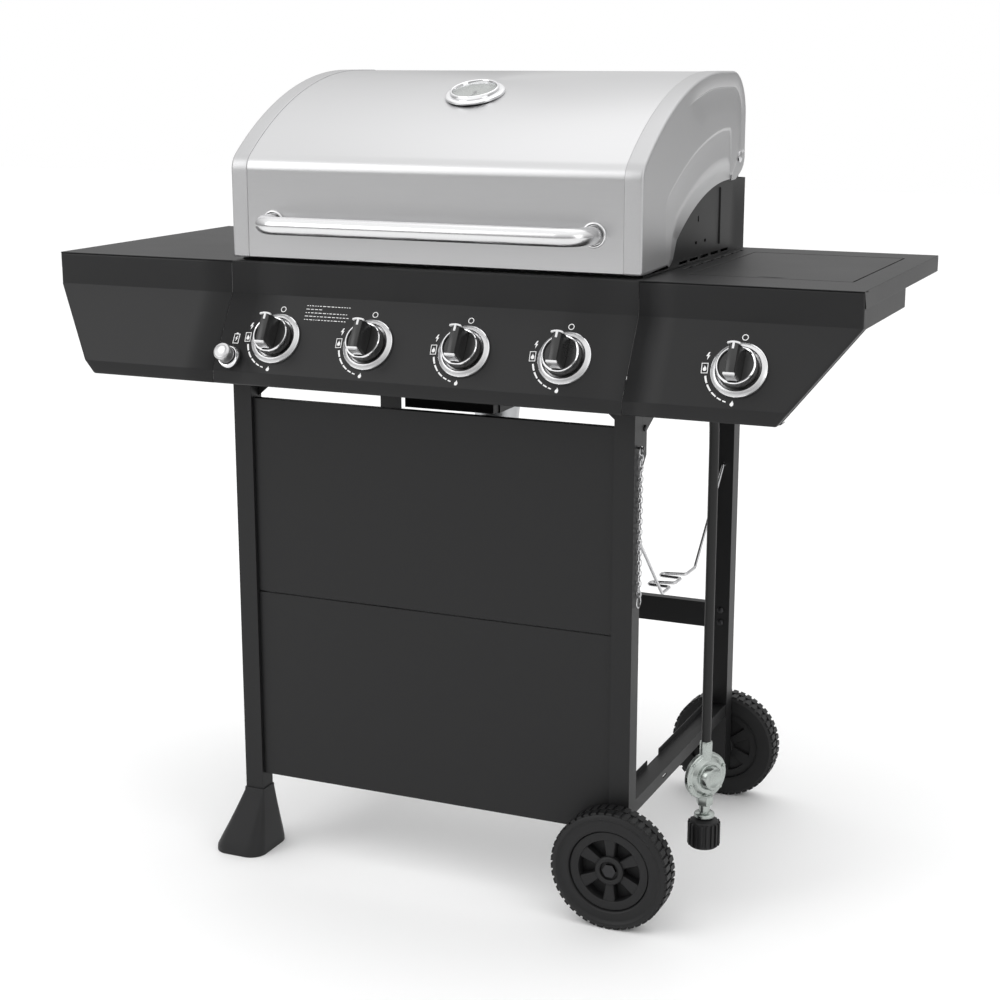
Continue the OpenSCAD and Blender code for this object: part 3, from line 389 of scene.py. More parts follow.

# %% [markdown]
# The gas hose leaves its fitting under the right fascia, turns over and hangs by its own weight
# with the regulator and the bottle nut on its end. It is a free cord, so its route repeats the
# solid model's points.

# %% Hang the gas hose
route = [
    (12, -138), (20, -138), (31, -141), (43, -148), (54, -159), (62, -172), (67, -187), (69, -202),
    (70, -223), (70, -253), (70, -293), (70, -333), (70, -373), (70, -413), (70, -453), (70, -493),
    (70, -533), (70, -573), (70, -613), (70, -649)]
HOSE_X = 391
hose_route = [place(HOSE_X, y, z) for y, z in route]
bm = bmesh.new()
add_tube(bm, hose_route, 6.7, 20)
gas_hose = piece("gas_hose", bm, "cart_and_firebox", hose_rubber, ("hose",))

# %% [markdown]
# Turned parts, such as the regulator, the knobs and the bezels, are one profile spun round an
# axis. lathe() takes the profile as pairs of radius and height, and a matrix that says where
# the axis stands. A profile that starts or ends on the axis closes itself with a small fan.

# %% Spin a profile
def lathe(bm, profile, stand, sides=64):
    rows = []
    for radius, height in profile:
        if radius < 0.001:
            rows.append([bm.verts.new(stand @ mm(0, 0, height))])
            continue
        turn = [2 * math.pi * k / sides for k in range(sides)]
        rows.append([
            bm.verts.new(stand @ Vector((radius * MM * math.cos(a), radius * MM * math.sin(a),
                                         height * MM)))
            for a in turn])
    for low, high in zip(rows, rows[1:]):
        for k in range(sides):
            n = (k + 1) % sides
            if len(low) == 1 and len(high) == 1:
                continue
            if len(low) == 1:
                bm.faces.new((low[0], high[n], high[k]))
            elif len(high) == 1:
                bm.faces.new((low[k], low[n], high[0]))
            else:
                bm.faces.new((low[k], low[n], high[n], high[k]))
    if len(rows[0]) > 1 and profile[0] == profile[-1]:
        bmesh.ops.remove_doubles(bm, verts=rows[0] + rows[-1], dist=1e-7)


def stand_at(x, y, z, tilt_x=0.0, turn_z=0.0):
    """Where an axis stands: tilted about X, then turned about Z, in degrees."""
    turned = Matrix.Rotation(math.radians(turn_z), 4, "Z") @ Matrix.Rotation(math.radians(tilt_x),
            4, "X")
    return Matrix.Translation(place(x, y, z)) @ turned


def block(bm, low, high, stand):
    corners = [mm(x, y, z) for x in (low[0], high[0]) for y in (low[1], high[1]) for z in (low[2],
            high[2])]
    verts = [bm.verts.new(stand @ c) for c in corners]
    for quad in ((0, 1, 3, 2), (4, 6, 7, 5), (0, 4, 5, 1), (2, 3, 7, 6), (0, 2, 6, 4),
                 (1, 5, 7, 3)):
        bm.faces.new([verts[i] for i in quad])


def spun(name, body, slot, material, stand, sides, *profiles, stands_for=()):
    """One piece whose profiles are all spun round the same axis."""
    bm = bmesh.new()
    for profile in profiles:
        lathe(bm, profile, stand, sides)
    return piece(name, bm, body, material, stands_for, smooth=30)


print("lathe, stand and block ready")

# %% [markdown]
# The regulator is a die casting: a round body that faces out to the side, with a raised rim, a
# domed cap over its spring and a hexagon below it. Each turned part is one lathe profile.

# %% Make the regulator
reg_top = 252 - WORKTOP_UP
body_z = reg_top - 51
stand = stand_at(HOSE_X, 70, body_z, 90, 56)
bm = bmesh.new()
lathe(bm, [(0, -10), (19, -10), (21.5, -9), (30, -4.5), (33.2, -3.6), (34, -2.8), (34, 2.8),
           (33.2, 3.6), (31, 4),
           (29.5, 4), (28.8, 4.6), (27, 5), (24.5, 8), (23, 9.4), (18.2, 9.6), (17.4, 10.5),
           (16.6, 18), (15, 20.6),
           (11.5, 21.8), (10.6, 21.2), (0, 20.8)], stand)
upright = stand_at(HOSE_X, 70, reg_top)
lathe(bm, [(0, -30), (6.8, -30), (8.4, -29), (8.7, -26), (8.7, -3), (8.2, -1), (7.2, -0.2),
           (0, -0.2)], upright, 32)
lathe(bm, [(0, -62), (7.4, -62), (7.4, -72), (10.5, -74), (10.5, -76), (9.4, -77), (9.4, -79),
           (0, -79)], upright, 6)
lathe(bm, [(0, -79), (11, -79), (12, -80.5), (12, -92), (11, -94), (0, -94)], upright, 6)
lathe(bm, [(0, -94), (7.5, -94), (7.5, -105), (13, -106), (14.4, -107.2), (14.4, -111),
           (13.6, -112.4), (0, -112.4)], upright, 40)
lathe(bm, [(0, -112.8), (7.9, -112.8), (7.9, -134), (6.5, -135), (0, -135)], upright, 32)
for k in range(6):
    screw = stand @ Matrix.Rotation(math.radians(60 * k + 20), 4,
                                    "Z") @ Matrix.Translation((0.0305, 0, 0))
    lathe(bm, [(0, 3.9), (2.4, 3.9), (2.4, 5.2), (1.9, 5.9), (0, 6)], screw, 12)
gas_regulator = piece("gas_regulator", bm, "cart_and_firebox", zinc, ("regulator",))
bevel(gas_regulator, 0.35)
print("regulator at", [round(v, 3) for v in place(HOSE_X, 70, body_z)])

# %% [markdown]
# The bottle nut is a moulded black handwheel. Its ribs repeat round it, so Geometry Nodes makes
# them: points on a circle, a rib on each point, turned to face outwards, then joined to real mesh.

# %% A Geometry Nodes helper: repeat a shape round a circle
class Making:
    def __init__(self, name, sizes):
        self.tree = bpy.data.node_groups.new(name, "GeometryNodeTree")
        self.tree.interface.new_socket("Geometry", in_out="OUTPUT",
                                       socket_type="NodeSocketGeometry")
        for size, kind in sizes.items():
            self.tree.interface.new_socket(size, in_out="INPUT", socket_type="NodeSocket" + kind)
        self.inside = self.tree.nodes.new("NodeGroupInput")
        self.outside = self.tree.nodes.new("NodeGroupOutput")

    def size(self, name):
        return self.inside.outputs[name]

    def node(self, kind, settings=None, sockets=None):
        made = self.tree.nodes.new(kind)
        for name, value in (settings or {}).items():
            setattr(made, name, value)
        for name, value in (sockets or {}).items():
            if isinstance(value, bpy.types.NodeSocket):
                self.tree.links.new(value, made.inputs[name])
            else:
                made.inputs[name].default_value = value
        return made

    def finish(self, geometry, material):
        real = self.node("GeometryNodeRealizeInstances", {}, {0: geometry})
        done = self.node("GeometryNodeSetMaterial", {}, {0: real.outputs[0], "Material": material})
        self.tree.links.new(done.outputs[0], self.outside.inputs[0])

    def make(self, **sizes):
        """Runs the tree once and gives the result as a bmesh."""
        holder = bpy.data.objects.new("holder", bpy.data.meshes.new("holder"))
        bpy.context.scene.collection.objects.link(holder)
        run = holder.modifiers.new("making", "NODES")
        run.node_group = self.tree
        for item in self.tree.interface.items_tree:
            if item.in_out == "INPUT" and item.name in sizes:
                run[item.identifier] = sizes[item.name]
        bpy.context.view_layer.update()
        graph = bpy.context.evaluated_depsgraph_get()
        mesh = bpy.data.meshes.new_from_object(holder.evaluated_get(graph))
        holder.modifiers.remove(run)
        bm = bmesh.new()
        bm.from_mesh(mesh)
        bpy.data.objects.remove(holder)
        bpy.data.meshes.remove(mesh)
        return bm


def round_repeat(name, material):
    """Blocks stood on a circle round Z, each facing out; sizes are metres and a count."""
    tree = Making(name, {"Count": "Int", "Radius": "Float", "Size": "Vector", "Turn": "Float",
                         "Height": "Float"})
    circle = tree.node("GeometryNodeMeshCircle", {}, {"Vertices": tree.size("Count"),
                                                      "Radius": tree.size("Radius")})
    lift = tree.node("ShaderNodeCombineXYZ", {}, {"Z": tree.size("Height")})
    spin = tree.node("ShaderNodeCombineXYZ", {}, {"Z": tree.size("Turn")})
    moved = tree.node("GeometryNodeTransform", {}, {"Geometry": circle.outputs[0],
                                                    "Translation": lift.outputs[0],
                                                    "Rotation": spin.outputs[0]})
    rib = tree.node("GeometryNodeMeshCube", {}, {"Size": tree.size("Size")})
    spot = tree.node("GeometryNodeInputPosition")
    parts = tree.node("ShaderNodeSeparateXYZ", {}, {0: spot.outputs[0]})
    angle = tree.node("ShaderNodeMath", {"operation": "ARCTAN2"}, {0: parts.outputs["Y"],
            1: parts.outputs["X"]})
    facing = tree.node("ShaderNodeCombineXYZ", {}, {"Z": angle.outputs[0]})
    placed = tree.node("GeometryNodeInstanceOnPoints", {}, {
        "Points": moved.outputs[0], "Instance": rib.outputs[0], "Rotation": facing.outputs[0]})
    tree.finish(placed.outputs[0], material)
    return tree


ribs = round_repeat("ribs round a circle", wheel_plastic)
print("Geometry Nodes helper ready")

# %% Make the bottle nut
low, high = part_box("coupling_nut")
nut_z = (low.z - worktop) / MM
nut_stand = stand_at(HOSE_X, 70, nut_z)
bm = ribs.make(Count=18, Radius=0.0205, Size=(0.0046, 0.0034, 0.033), Height=0.0195, Turn=0.0)
bmesh.ops.transform(bm, matrix=nut_stand, verts=bm.verts)
lathe(bm, [(0, 12), (16.5, 12), (16.5, 0.5), (17, 0), (19, 0), (20.3, 1.2), (20.3, 35),
           (18.5, 38.5), (14, 40.5), (11, 42),
           (8.6, 42), (8.1, 41.5), (8.1, 30), (0, 30)], nut_stand)
bottle_nut = piece("bottle_nut", bm, "nut", wheel_plastic, ("coupling_nut",))
bevel(bottle_nut, 0.6)
print("nut made with", len(bottle_nut.data.polygons), "faces")

# %% [markdown]
# The lid is one sheet of brushed steel bent over a long curve. A real one is rolled, so its
# highlights run unbroken from end to end. The outline is drawn once, in fine steps, and used for
# the skin, the end caps' rims and the side plates.

# %% Draw the lid's outline
LID_FRONT, LID_BACK = 8, 462
bend_turn = math.degrees(math.atan2(1018.09 - 633, 38 - 341))


def arc(y, z, r, start, end, steps):
    turn = [math.radians(start + (end - start) * i / steps) for i in range(steps + 1)]
    return [(y + r * math.cos(a), z + r * math.sin(a)) for a in turn]


def lid_line(inset, back_end, front_end=5):
    curves = (arc(38, 125.09, 30 - inset, 180, bend_turn, 12) + arc(341, -260, 520 - inset,
            bend_turn, 90, 60)[1:]
              + arc(397, 195, 65 - inset, 90, 0, 24)[1:])
    return [(LID_FRONT + inset, front_end)] + curves + [(LID_BACK - inset, back_end)]


def sweep(bm, outline, x0, x1):
    """A closed outline in depth and height, carried from x0 to x1."""
    loft(bm, [[place(x, y, z) for y, z in outline] for x in (x0, x1)])


hem = [(10.8, 18.0), (10.8, 6.2), (9.8, 5.0), (9.0, 5.0)]
outline = lid_line(0, 121, 6.2) + lid_line(1.2, 121, 18.5)[::-1] + hem
bm = bmesh.new()
sweep(bm, outline, -280.8, 280.8)
lid_sheet = piece("lid_sheet", bm, "lid", stainless, ("lid_skin",), smooth=25)
print("lid sheet with", len(lid_sheet.data.polygons), "faces")

# %% [markdown]
# Each end cap is a pressing in painted sheet. Its rim carries on the lid's curve and turns a small
# radius. A fine groove runs inside the rim and fades towards the front, and the middle of the side
# is set in by a step. It is built as rows of points that run round the lid together, so every row
# is smooth.

# %% Press the end caps
def spread(points, count, corners=()):
    """The same line as evenly spaced points."""
    lengths = [0.0]
    for a, b in zip(points, points[1:]):
        lengths.append(lengths[-1] + math.dist(a, b))
    out = []
    for i in range(count):
        want = lengths[-1] * i / (count - 1)
        k = max(j for j, l in enumerate(lengths) if l <= want + 1e-9)
        k = min(k, len(points) - 2)
        t = (want - lengths[k]) / max(lengths[k + 1] - lengths[k], 1e-9)
        out.append((points[k][0] + (points[k + 1][0] - points[k][0]) * t,
                    points[k][1] + (points[k + 1][1] - points[k][1]) * t))
    return out


def joined(first, second):
    return first + second[1:]


def spline(points, steps=8):
    """A smooth curve through points (Catmull-Rom)."""
    line = []
    ends = [points[0]] + list(points) + [points[-1]]
    for a, b, c, d in zip(ends, ends[1:], ends[2:], ends[3:]):
        for i in range(steps):
            t = i / steps
            line.append(tuple(0.5 * ((2 * q) + (r - p) * t + (2 * p - 5 * q + 4 * r - s) * t * t
                        + (3 * q - p - 3 * r + s) * t ** 3) for p, q, r, s in zip(a, b, c, d)))
    return line + [points[-1]]


ROWS = 150
outer = lid_line(0, 142)
split = 14
front_part = spread(outer[:split], 40)
back_part = spread(outer[split - 1:], ROWS - 39)
outer_row = joined(front_part, back_part)
step_front = spread([(106, 8), (101, 89)], 34)
step_back = spread(spline([(101, 89), (113, 102), (163, 128), (215, 150), (269, 166), (325, 177),
                           (370, 180), (390, 172), (396, 112)]), ROWS - 33)
step_row = joined(step_front, step_back)
edge_curve = [(124, 5), (137, 14)] + arc(388, -340, 446, 122, 86, 40)
edge_row = spread(edge_curve, ROWS)


def inset_row(row, amount):
    moved = []
    for i, (y, z) in enumerate(row):
        a, b = row[max(i - 1, 0)], row[min(i + 1, len(row) - 1)]
        length = max(math.dist(a, b), 1e-6)
        moved.append((y + (b[1] - a[1]) / length * amount, z - (b[0] - a[0]) / length * amount))
    return moved


def end_cap(side):
    rows = []
    for x, amount in ((281.4, 0.5), (281.9, 0.05), (282.6, 0), (301.6, 0), (303.2, 0)):
        rows.append([(max(x, 303.2) if y > 455 and z < 175 else x, y, z) for y,
                     z in inset_row(outer_row, amount)])
    for i in range(1, 7):
        a = math.radians(90 * i / 6)
        rows.append([(303.2 + 2.8 * math.sin(a), y, z) for y, z in inset_row(outer_row,
                2.8 - 2.8 * math.cos(a))])
    rows.append([(306, y, z) for y, z in inset_row(outer_row, 4)])
    for amount, deep in ((19.8, 0), (20.4, 0.25), (21.6, 1.1), (22.8, 0.25), (23.4, 0)):
        rows.append([(306 - deep * min(1, max(0, (y - 190) / 50)), y, z) for y,
                     z in inset_row(outer_row, amount)])
    rows.append([(306, y + (v - y) * 0.6, z + (w - z) * 0.6) for (y, z),
                 (v, w) in zip(inset_row(outer_row, 23.4), step_row)])
    for amount, x in ((-3.0, 306), (-1.0, 306), (-0.3, 305.9), (0.2, 305.65), (2.2, 304.85),
                      (2.8, 304.6), (3.8, 304.5)):
        rows.append([(x, y, z) for y, z in inset_row(step_row, amount)])
    rows.append([(304.5, y + (v - y) * 0.5, z + (w - z) * 0.5) for (y, z),
                 (v, w) in zip(inset_row(step_row, 3.8), edge_row)])
    rows.append([(304.5, y, z) for y, z in edge_row])
    bm = bmesh.new()
    grid = [[bm.verts.new(place(side * x, y, z)) for x, y, z in row] for row in rows]
    for a, b in zip(grid, grid[1:]):
        for i in range(ROWS - 1):
            bm.faces.new((a[i], a[i + 1], b[i + 1], b[i]) if side > 0 else (a[i], b[i], b[i + 1],
                    a[i + 1]))
    return bm


LOBE = [(398, 104.6), (398, 146), (461.8, 146), (461.2, 133), (456.5, 124), (449, 118), (438, 113),
        (419, 105.4)]
for side, name in ((1, "right"), (-1, "left")):
    bm = end_cap(side)
    sweep(bm, LOBE, side * 303.7, side * 305.9)
    cap = piece("lid_end_" + name, bm, "lid", silver_paint,
                ("lid_end_caps",), smooth=40, keep_normals=True)
    thicken(cap, 0.9)
    print(cap.name, len(cap.data.polygons), "faces")

# %% [markdown]
# The handle is one bent tube of brushed steel between two round rosettes. The tube's ends turn
# back to the lid in a wide bend.

# %% Bend the handle
HANDLE_X, HANDLE_Y, HANDLE_Z = 240, -42, 55
bends = [(-HANDLE_X, 5)] + arc(-208, HANDLE_Y + 32, 32, 180, 270, 14) + arc(208, HANDLE_Y + 32, 32,
        270, 360, 14) + [(HANDLE_X, 5)]
bm = bmesh.new()
add_tube(bm, [place(x, y, HANDLE_Z) for x, y in bends], 12.45, 40)
for x in (-HANDLE_X, HANDLE_X):
    rosette = stand_at(x, LID_FRONT, HANDLE_Z, 90)
    lathe(bm, [(0, 0.1), (17.4, 0.1), (17.4, 1.7), (16.8, 3.0), (15.9, 3.7), (15.0, 3.9),
               (14.4, 3.5), (13.4, 1.6), (0, 1.6)], rosette, 48)
piece("handle_tube", bm, "lid", handle_steel, ("lid_handle",), smooth=40)
print("handle spans", 2 * HANDLE_X, "mm")

# %% [markdown]
# The control panel and the two fascias are one folded profile: an upright strip, a sloping
# facet for the knobs and a lower lip that turns back. Sheet metal can't fold sharp, so every
# fold has a small inside radius, which is what catches the light along its length.

# %% Draw the folded profile
FOLD_1, FOLD_2, FACE_BOTTOM, LIP = -46, -148, -167, 58.89
SLOPE = math.radians(30)


def folded(points, radius, steps=5):
    """Rounds each corner of an outline in depth and height."""
    flat = smooth_line([mm(0, y, z) for y, z in points], radius, steps)
    return [(p.y / MM, p.z / MM) for p in flat]


def face_profile(top, back):
    return folded([(back, top), (0, top), (0, FOLD_1), (-LIP, FOLD_2), (-LIP, FACE_BOTTOM),
                   (24 - LIP, FACE_BOTTOM)], 3.2)


def strip(bm, rows, flip=False):
    grid = [[bm.verts.new(p) for p in row] for row in rows]
    for a, b in zip(grid, grid[1:]):
        for i in range(len(a) - 1):
            quad = (a[i], a[i + 1], b[i + 1], b[i])
            bm.faces.new(quad[::-1] if flip else quad)


bm = bmesh.new()
profile = face_profile(0, 26)
strip(bm, [[place(x, y, z) for y, z in profile] for x in (-305.6, -200, 0, 200, 305.6)])
thicken(piece("panel_face", bm, "cart_and_firebox", charcoal, ("control_panel",
        ), keep_normals=True), 1.2)
print("panel profile has", len(profile), "points")

# %% [markdown]
# A fascia has the same profile, and its outer end is cut on a slant and folded back all round.
# Its rows stop at the slanted line, turn a small radius and run straight back.

# %% Fold the fascias
def end_x(z):
    return 600.0 if z > -55 else 600.0 + (z + 55) * 0.815


def fascia(side, name, stands_for):
    profile = face_profile(-1.2, 14)
    fold = 2.6
    rows = []
    for y, z in profile:
        end = end_x(z)
        line = [(306.4, y), (360, y), (450, y), (end - fold - 8, y)]
        depth = 0 if z > -23 or y > -0.5 and z > -1.4 else 20
        line += [(end - fold + fold * math.sin(math.radians(a)),
                  y + fold * (1 - math.cos(math.radians(a)))) for a in (0, 22, 45, 68, 90)]
        line += [(end, y + max(depth, fold + 0.2)), (end, y + max(depth, fold + 0.4))]
        rows.append([place(side * x, yy, z) for x, yy in line])
    bm = bmesh.new()
    strip(bm, rows, flip=side > 0)
    return thicken(piece(name, bm, "cart_and_firebox", charcoal, (stands_for,),
                         keep_normals=True), 1.2)


fascia(1, "fascia_face_right", "fascia_right")
fascia(-1, "fascia_face_left", "fascia_left")
print("fascias folded")

# %% [markdown]
# Knobs, bezels and printed marks all stand on the sloping facet. on_facet() gives the place of a
# point on it: local X is to the right, local Y is up the slope and local Z stands out of it.

# %% Stand on the facet
def on_facet(x, down):
    turned = Matrix.Rotation(math.radians(60), 4, "X")
    return Matrix.Translation(place(x, -down * math.sin(SLOPE),
                                    FOLD_1 - down * math.cos(SLOPE))) @ turned


KNOB_DOWN = 66
IGNITER = (-283.7, 98)
KNOBS = [-216.75, -72.25, 72.25, 216.75, 453]
for i, x in enumerate(KNOBS, 1):
    stand = on_facet(x, KNOB_DOWN)
    spun(f"bezel_{i}", "cart_and_firebox", "bright_chrome", satin_ring, stand, 96,
         [(7, 0.2), (35.6, 0.2), (36.8, 0.8), (37, 2.2), (36.6, 3.4), (35.9, 4.0), (31.4, 6.6),
          (30.4, 6.7), (29.7, 6.1),
               (29.4, 1.6), (27.6, 1.5), (7, 1.5), (7, 0.2)], stands_for=("bezels",)
               if i == 1 else ())
    spun(f"bezel_edge_{i}", "cart_and_firebox", "bright_chrome", chrome, stand, 96, [(37.02, 0.4),
            (37.35, 0.4), (37.4, 2.6), (36.9, 3.8), (36.1, 4.25), (35.9, 4.0), (36.6, 3.4),
            (37.02, 2.2), (37.02, 0.4)], [(29.2, 1.6), (29.2, 3.4), (28.7, 3.9), (28.2, 3.4),
                                          (28.2, 1.6), (29.2, 1.6)])
print("bezels on", len(KNOBS), "knobs")

# %% [markdown]
# A knob is a black moulding with a tall grip, a plated ring round its face and a plated pointer
# let into the grip's upper end. The grip is a bar with rounded flanks that is taller in the
# middle, so it is built as sections along its length.

# %% Make the knobs
def grip(bm, stand):
    rows = []
    for k in range(25):
        t = -1 + 2 * k / 24
        half = 8.0 * (1 - 0.06 * abs(t)) * (1.0 if abs(t) < 0.96 else 0.86)
        top = 44.6 - 1.6 * t * t - (0.9 if abs(t) > 0.97 else 0)
        flank = [(half + 1.6, 19.5), (half + 0.4, 24), (half - 0.3, 34), (half - 0.9, top - 3.5),
                 (half - 2.0, top - 1.0), (half - 4.0, top)]
        section = [(-x, z) for x, z in flank] + flank[::-1]
        rows.append([stand @ mm(x, 21.8 * t, z) for x, z in section])
    loft(bm, rows)


def slab(bm, outline, low, high, stand):
    """A flat shape with straight sides, standing on the local XY plane."""
    loft(bm, [[stand @ mm(x, y, z) for x, y in outline] for z in (low, high)])


for i, x in enumerate(KNOBS, 1):
    stand = on_facet(x, KNOB_DOWN)
    bm = bmesh.new()
    lathe(bm, [(4.4, 8), (26.2, 8), (26.9, 8.8), (26.4, 14), (25.9, 19.0), (22.6, 19.6),
               (22.2, 18.6), (14, 18.2), (4.4, 18.2), (4.4, 8)], stand, 72)
    grip(bm, stand)
    piece(f"knob_body_{i}", bm, f"knob{i}", black_plastic, (f"knob_{i}",),
          smooth=32)
    spun(f"knob_ring_{i}", f"knob{i}", "bright_chrome", chrome, stand, 96, [(22.7, 19.0),
            (26.0, 18.6), (26.3, 19.6), (25.9, 21.2), (24.9, 22.0), (23.6, 21.8), (22.8, 20.8),
            (22.7, 19.0)])
    bm = bmesh.new()
    bow = [(-8.2, 21.2), (-4.2, 22.3), (0, 22.7), (4.2, 22.3), (8.2, 21.2), (8.4, 19.0),
           (4.2, 20.1), (1.4, 20.4), (1.4, 12.5), (-1.4, 12.5),
           (-1.4, 20.4), (-4.2, 20.1), (-8.4, 19.0)]
    slab(bm, bow[::-1], 41.5, 45.0, stand)
    slab(bm, [(-7.4, -21.9), (7.4, -21.9), (7.4, -19.4), (-7.4, -19.4)], 41.5, 44.9, stand)
    piece(f"knob_pointer_{i}", bm, f"knob{i}", pointer_silver, smooth=30)
    bm = bmesh.new()
    slab(bm, [(-6.9, -22.6), (6.9, -22.6), (6.9, -20), (-6.9, -20)], 24, 41.2, stand)
    piece(f"knob_end_{i}", bm, f"knob{i}", satin_ring, smooth=30)
    paint(f"stem_{i}", plated)
print("knobs made")

# %% [markdown]
# The igniter is a plated push button in a small plated collar.

# %% Make the igniter button
stand = on_facet(*IGNITER)
spun("igniter_collar", "cart_and_firebox", "bright_chrome", chrome, stand, 64,
     [(13.2, 0.2), (16.6, 0.2), (17.0, 1.0), (16.9, 2.4), (15.4, 6.6), (14.4, 7.8), (13.3, 7.9),
      (13.0, 7.0), (13.2, 0.2)])
spun("igniter_cap", "igniter", "bright_chrome", satin_ring, stand, 64, [(0, -24), (4, -24),
        (4, 10), (12.2, 10), (12.5, 11), (12.5, 23.5), (12.0, 25.4), (10.6, 26.6), (9.2, 26.9),
        (8.2, 26.2), (4, 25.5), (0, 25.3)], stands_for=("igniter_button",))
print("igniter made")

# %% [markdown]
# The marks beside each knob are screen print: an off ring, a spark, a flame in a box, a dashed
# arc that thins towards low, and a small flame. They are drawn as thin flat shapes that lie on
# the paint. The little block of words is left as plain rules, since no words belong on a shared part.

# %% Print the marks
INK_LOW, INK_HIGH, WORDS_HIGH = 0.06, 0.2, 0.14


def mark(bm, outline, stand):
    slab(bm, outline, INK_LOW, INK_HIGH, stand)


def rectangle(x0, y0, x1, y1):
    return [(x0, y0), (x1, y0), (x1, y1), (x0, y1)]


def box_mark(bm, stand, x_in, x_out, y_in, y_out):
    """A printed box: two upright strips, then one above and one below between them."""
    for line in ((-x_out, -y_out, -x_in, y_out), (x_in, -y_out, x_out, y_out),
                 (-x_in, y_in, x_in, y_out), (-x_in, -y_out, x_in, -y_in)):
        mark(bm, rectangle(*line), stand)


def ring_part(bm, stand, r0, r1, start, end, steps):
    """Part of a ring between two angles, with the inner and outer radius at each end."""
    inner, outer_side = [], []
    for k in range(steps + 1):
        t = k / steps
        a = math.radians(start + (end - start) * t)
        ri = r0[0] + (r0[1] - r0[0]) * t
        ro = r1[0] + (r1[1] - r1[0]) * t
        inner.append((ri * math.cos(a), ri * math.sin(a)))
        outer_side.append((ro * math.cos(a), ro * math.sin(a)))
    mark(bm, inner + outer_side[::-1], stand)


def moved(stand, x, y, turn=0.0):
    return stand @ Matrix.Translation(mm(x, y, 0)) @ Matrix.Rotation(math.radians(turn), 4, "Z")


def full_ring(bm, stand, inner, outer_r):
    for k in range(4):
        ring_part(bm, stand, (inner, inner), (outer_r, outer_r), 90 * k, 90 * k + 90, 6)


SPARK = [(1.2, 5.2), (-2.6, 0.2), (-0.4, 0.2), (-1.6, -5.2), (2.8, 0.9), (0.6, 0.9), (3.0, 5.2)]
FLAME = [(0, 4.2), (1.0, 2.2), (2.3, 0.6), (2.4, -1.6), (1.2, -3.4), (-1.2, -3.4), (-2.4, -1.6),
         (-2.0, 0.6), (-0.8, 1.6)]
bm = bmesh.new()
for x in KNOBS:
    stand = on_facet(x, KNOB_DOWN)
    full_ring(bm, moved(stand, 0, 45.2), 3.2, 4.3)
    mark(bm, SPARK, moved(stand, -44, 17, 10))
    box_mark(bm, moved(stand, -45.8, 0.5, 4), 3.5, 4.4, 6.1, 7)
    mark(bm, FLAME, moved(stand, -45.8, 0.0, 4))
    marks = [(193, 206), (209, 222), (225, 236), (239, 247), (250, 256)]
    for start, end in marks:
        wide = [1.3 - 0.5 * (a - 193) / 63 for a in (start, end)]
        ring_part(bm, stand, (44.2 - wide[0], 44.2 - wide[1]), (44.2 + wide[0], 44.2 + wide[1]),
                  start, end, 5)
    mark(bm, FLAME, moved(stand, -2.5, -44.5, -4))
button = moved(on_facet(*IGNITER), 3, 29)
mark(bm, [(p * 0.8, q * 0.8) for p, q in SPARK], button)
box_mark(bm, button, 3.6, 4.6, 6.4, 7.4)
mark(bm, rectangle(-1.6, 7.4, 1.6, 8.8), button)
rng = random.Random(4)
for row in range(5):
    stand = on_facet(-181, 13 + row * 5.2)
    x = 0.0
    end = 22 if row == 1 else 66
    while x < end:
        word = rng.uniform(1.4, 5.5)
        slab(bm, rectangle(x, -0.5, x + word, 0.5), INK_LOW, WORDS_HIGH, stand)
        x += word + 1.8
piece("panel_marks", bm, "cart_and_firebox", print_white, smooth=30)
print("marks printed")

# %% [markdown]
# The cart, shelves and firebox are plain folded sheet. Their solids are right, but every edge is
# knife-sharp, and no light would run along it. soften() copies each one, joins its loose
# triangles and rounds the edges by half a millimetre.

# %% Soften the sheet metal
for node in ("leg_front_left", "leg_front_right", "leg_rear_left", "leg_rear_right",
             "leg_brackets", "rear_crossbar",
             "tank_beam", "left_beam", "front_panel_upper", "front_panel_lower"):
    soften(node, charcoal, 0.45)
for node in ("shelf_left", "shelf_right", "side_burner_cover"):
    soften(node, charcoal, 0.5)
for node in ("firebox_walls", "firebox_sides", "firebox_funnel", "lid_brackets",
             "side_burner_well"):
    soften(node, enamel, 0.4)
for node in ("cooking_grates", "side_burner_grate"):
    soften(node, grate_iron, 1.6, 3)
soften("flame_tamers", stainless, 0.4)
soften("grease_tray", enamel, 0.4)
for node, material in (("cart_bolts", black_zinc), ("lid_pivot_bolts", plated), ("valves", brass),
                       ("manifold", zinc),
                       ("burners", stainless), ("side_burner", zinc), ("grease_cup", galvanised),
                       ("warming_rack", plated),
                       ("igniter_box", black_plastic), ("gauge_glass", clear_glass)):
    paint(node, material)
    nodes[node].data.polygons.foreach_set("use_smooth", [True] * len(nodes[node].data.polygons))
    nodes[node].data.set_sharp_from_angle(angle=math.radians(30))
bm = bmesh.new()
for side in (-1, 1):
    add_tube(bm, [place(side * 301.6, 357, z) for z in (15, 16, 96, 97)], lambda t: 2.3
             if 0.1 < t < 0.9 else 1.3, 12)
piece("firebox_ribs", bm, "cart_and_firebox", enamel, smooth=40)
print("sheet metal softened")

# %% [markdown]
# A wheel is one black moulding: a tread with two rows of lugs, a rim, a web with six windows
# and a hub that is sunk for the axle bolt's head.

# %% Mould the wheels
lugs = round_repeat("tread lugs", wheel_plastic)
WHEEL_R, LUGS = 85.5, 46


